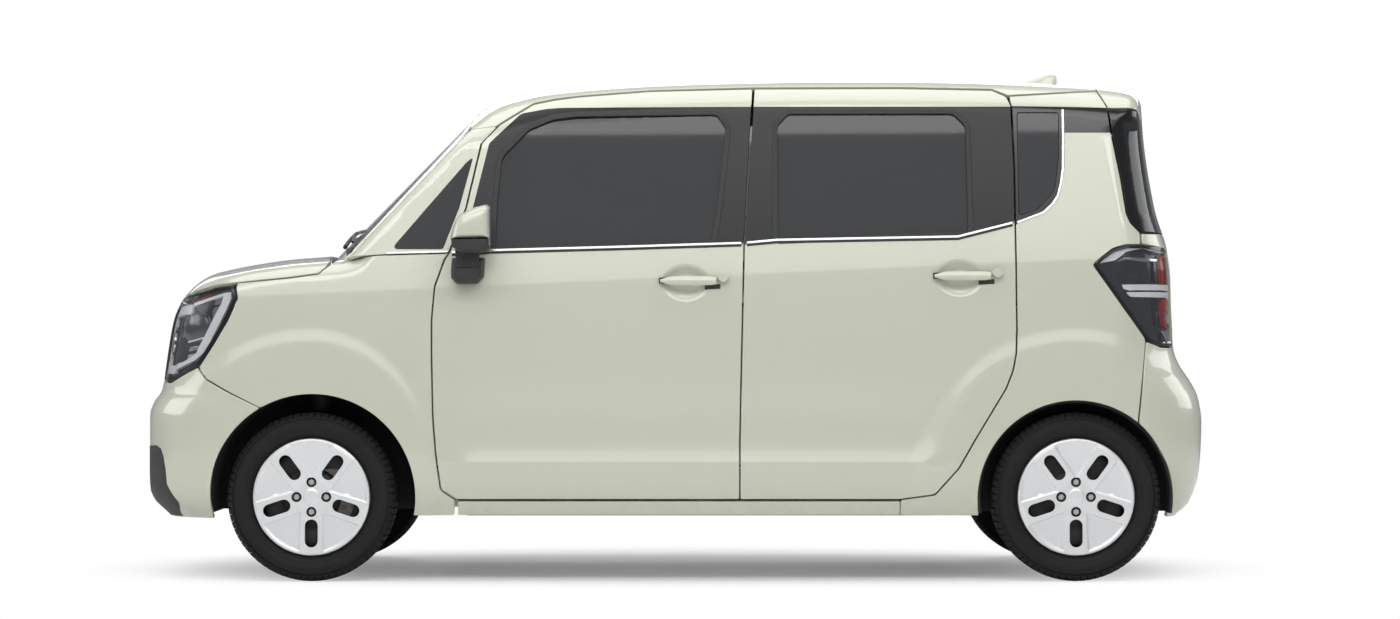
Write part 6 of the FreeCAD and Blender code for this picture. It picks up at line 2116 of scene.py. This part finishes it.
class CITYCAR_OT_stage(bpy.types.Operator):
    """Sets the pale floor, the studio lights, the world and the camera at the photograph's view"""

    bl_idname = "citycar.stage"
    bl_label = "Stage and camera"

    def floor(self, scene):
        """A pale floor that fades into white away from the car."""
        floor = Finish("studio_floor", Roughness=0.6)
        tree = floor.tree
        ellipse = floor.axis(0) * floor.axis(0) * 0.16 + floor.axis(1) * floor.axis(1) * 0.34
        # For the camera, a fifth of the floor near the car is white glow, painted light that lightens the
        # car's shadow, and further away it is all glow.
        far = ellipse.smooth(0.1, 0.8) * 0.8 + 0.2
        floor.set("Base Color", floor.mix(floor.noise(2.0), (0.86, 0.86, 0.86), (0.88, 0.88, 0.88)))
        glow = floor.node("ShaderNodeEmission", None, {"Color": (1, 1, 1, 1), "Strength": 1.0})
        seen = Value(floor, floor.node("ShaderNodeLightPath").outputs["Is Camera Ray"])
        mixed = floor.node("ShaderNodeMixShader", None, {0: far * seen, 1: floor.surface.outputs[0],
                                                         2: glow.outputs[0]})
        tree.links.new(mixed.outputs[0], tree.nodes["Material Output"].inputs[0])
        mesh = bpy.data.meshes.new("studio_floor")
        corners = [(x * FLOOR_REACH, y * FLOOR_REACH, 0) for x, y in ((-1, -1), (1, -1), (1, 1), (-1, 1))]
        mesh.from_pydata(corners, [], [(0, 1, 2, 3)])
        mesh.materials.append(floor.material)
        ground = bpy.data.objects.new("studio_floor", mesh)
        scene.collection.objects.link(ground)

    def sky(self, scene):
        """A soft sky for the light, and plain white where the camera sees it."""
        world = bpy.data.worlds.new("studio")
        scene.world = world
        world.use_nodes = True
        tree = world.node_tree
        tree.nodes.clear()
        path = tree.nodes.new("ShaderNodeLightPath")
        sees = tree.nodes.new("ShaderNodeMath")
        sees.operation = "MAXIMUM"
        tree.links.new(path.outputs["Is Camera Ray"], sees.inputs[0])
        tree.links.new(path.outputs["Is Transmission Ray"], sees.inputs[1])
        soft = tree.nodes.new("ShaderNodeBackground")
        soft.inputs[0].default_value = (0.93, 0.96, 1.0, 1.0)
        soft.inputs[1].default_value = SKY_STRENGTH
        white = tree.nodes.new("ShaderNodeBackground")
        white.inputs[0].default_value = (1, 1, 1, 1)
        mixer = tree.nodes.new("ShaderNodeMixShader")
        tree.links.new(sees.outputs[0], mixer.inputs[0])
        tree.links.new(soft.outputs[0], mixer.inputs[1])
        tree.links.new(white.outputs[0], mixer.inputs[2])
        out = tree.nodes.new("ShaderNodeOutputWorld")
        tree.links.new(mixer.outputs[0], out.inputs[0])

    def lights(self, scene):
        for name, place_at, target, size, watts in STUDIO_LIGHTS:
            lamp = bpy.data.lights.new(name, "AREA")
            lamp.shape = "RECTANGLE"
            lamp.size, lamp.size_y = size
            lamp.energy = watts
            lamp_object = bpy.data.objects.new(name, lamp)
            lamp_object.location = place_at
            way = Vector(target) - Vector(place_at)
            lamp_object.rotation_euler = way.to_track_quat("-Z", "Y").to_euler()
            scene.collection.objects.link(lamp_object)

    def camera(self, scene):
        view = bpy.data.cameras.new("side_view")
        view.sensor_width = 36.0
        view.lens = CAMERA_LENS
        view.shift_x, view.shift_y = CAMERA_SHIFT
        view.clip_end = 200
        camera = bpy.data.objects.new("side_view", view)
        camera.location = CAMERA_PLACE
        camera.rotation_euler = (math.pi / 2, 0, 0)
        scene.collection.objects.link(camera)
        scene.camera = camera

    def execute(self, context):
        scene = context.scene
        scene.view_settings.view_transform = "Standard"
        self.floor(scene)
        self.sky(scene)
        self.lights(scene)
        self.camera(scene)
        return {"FINISHED"}


class CITYCAR_OT_frame_finish(bpy.types.Operator):
    """Gives every carried-over frame node its finish"""

    bl_idname = "citycar.frame_finish"
    bl_label = "Frame finishes"

    def execute(self, context):
        Car.get()
        slots = {part["node"]: part["material_slot"] for part in frame["record"]["subparts"]}
        for name, node in frame["nodes"].items():
            finish = Car.finishes[NODE_FINISH.get(name, SLOT_FINISH[slots[name]])]
            node.data.materials.clear()
            node.data.materials.append(finish)
        return {"FINISHED"}


class CITYCAR_PT_panel(bpy.types.Panel):
    """The car's sizes and colours, and a button for each group of pieces"""

    bl_idname = "CITYCAR_PT_panel"
    bl_label = "City Car"
    bl_space_type = "VIEW_3D"
    bl_region_type = "UI"
    bl_category = "City Car"

    def draw(self, context):
        layout = self.layout
        for group in (context.scene.city_car_colours, context.scene.city_car_sizes):
            for prop in group.__annotations__:
                layout.prop(group, prop)
        for operator in STEPS:
            layout.operator(operator.bl_idname)


STEPS = (CITYCAR_OT_frame_finish, CITYCAR_OT_doors, CITYCAR_OT_sides, CITYCAR_OT_upper, CITYCAR_OT_ends,
         CITYCAR_OT_wheels, CITYCAR_OT_lamps, CITYCAR_OT_fittings, CITYCAR_OT_cabin, CITYCAR_OT_stage)
CLASSES = (CarColours, CarSizes) + STEPS + (CITYCAR_PT_panel,)


def register():
    for item in CLASSES:
        bpy.utils.register_class(item)
    bpy.types.Scene.city_car_colours = bpy.props.PointerProperty(type=CarColours)
    bpy.types.Scene.city_car_sizes = bpy.props.PointerProperty(type=CarSizes)


def unregister():
    del bpy.types.Scene.city_car_colours
    del bpy.types.Scene.city_car_sizes
    for item in reversed(CLASSES):
        bpy.utils.unregister_class(item)


def main():
    register()
    for operator in STEPS:
        category, name = operator.bl_idname.split(".")
        getattr(getattr(bpy.ops, category), name)()


if __name__ == "__main__":
    main()
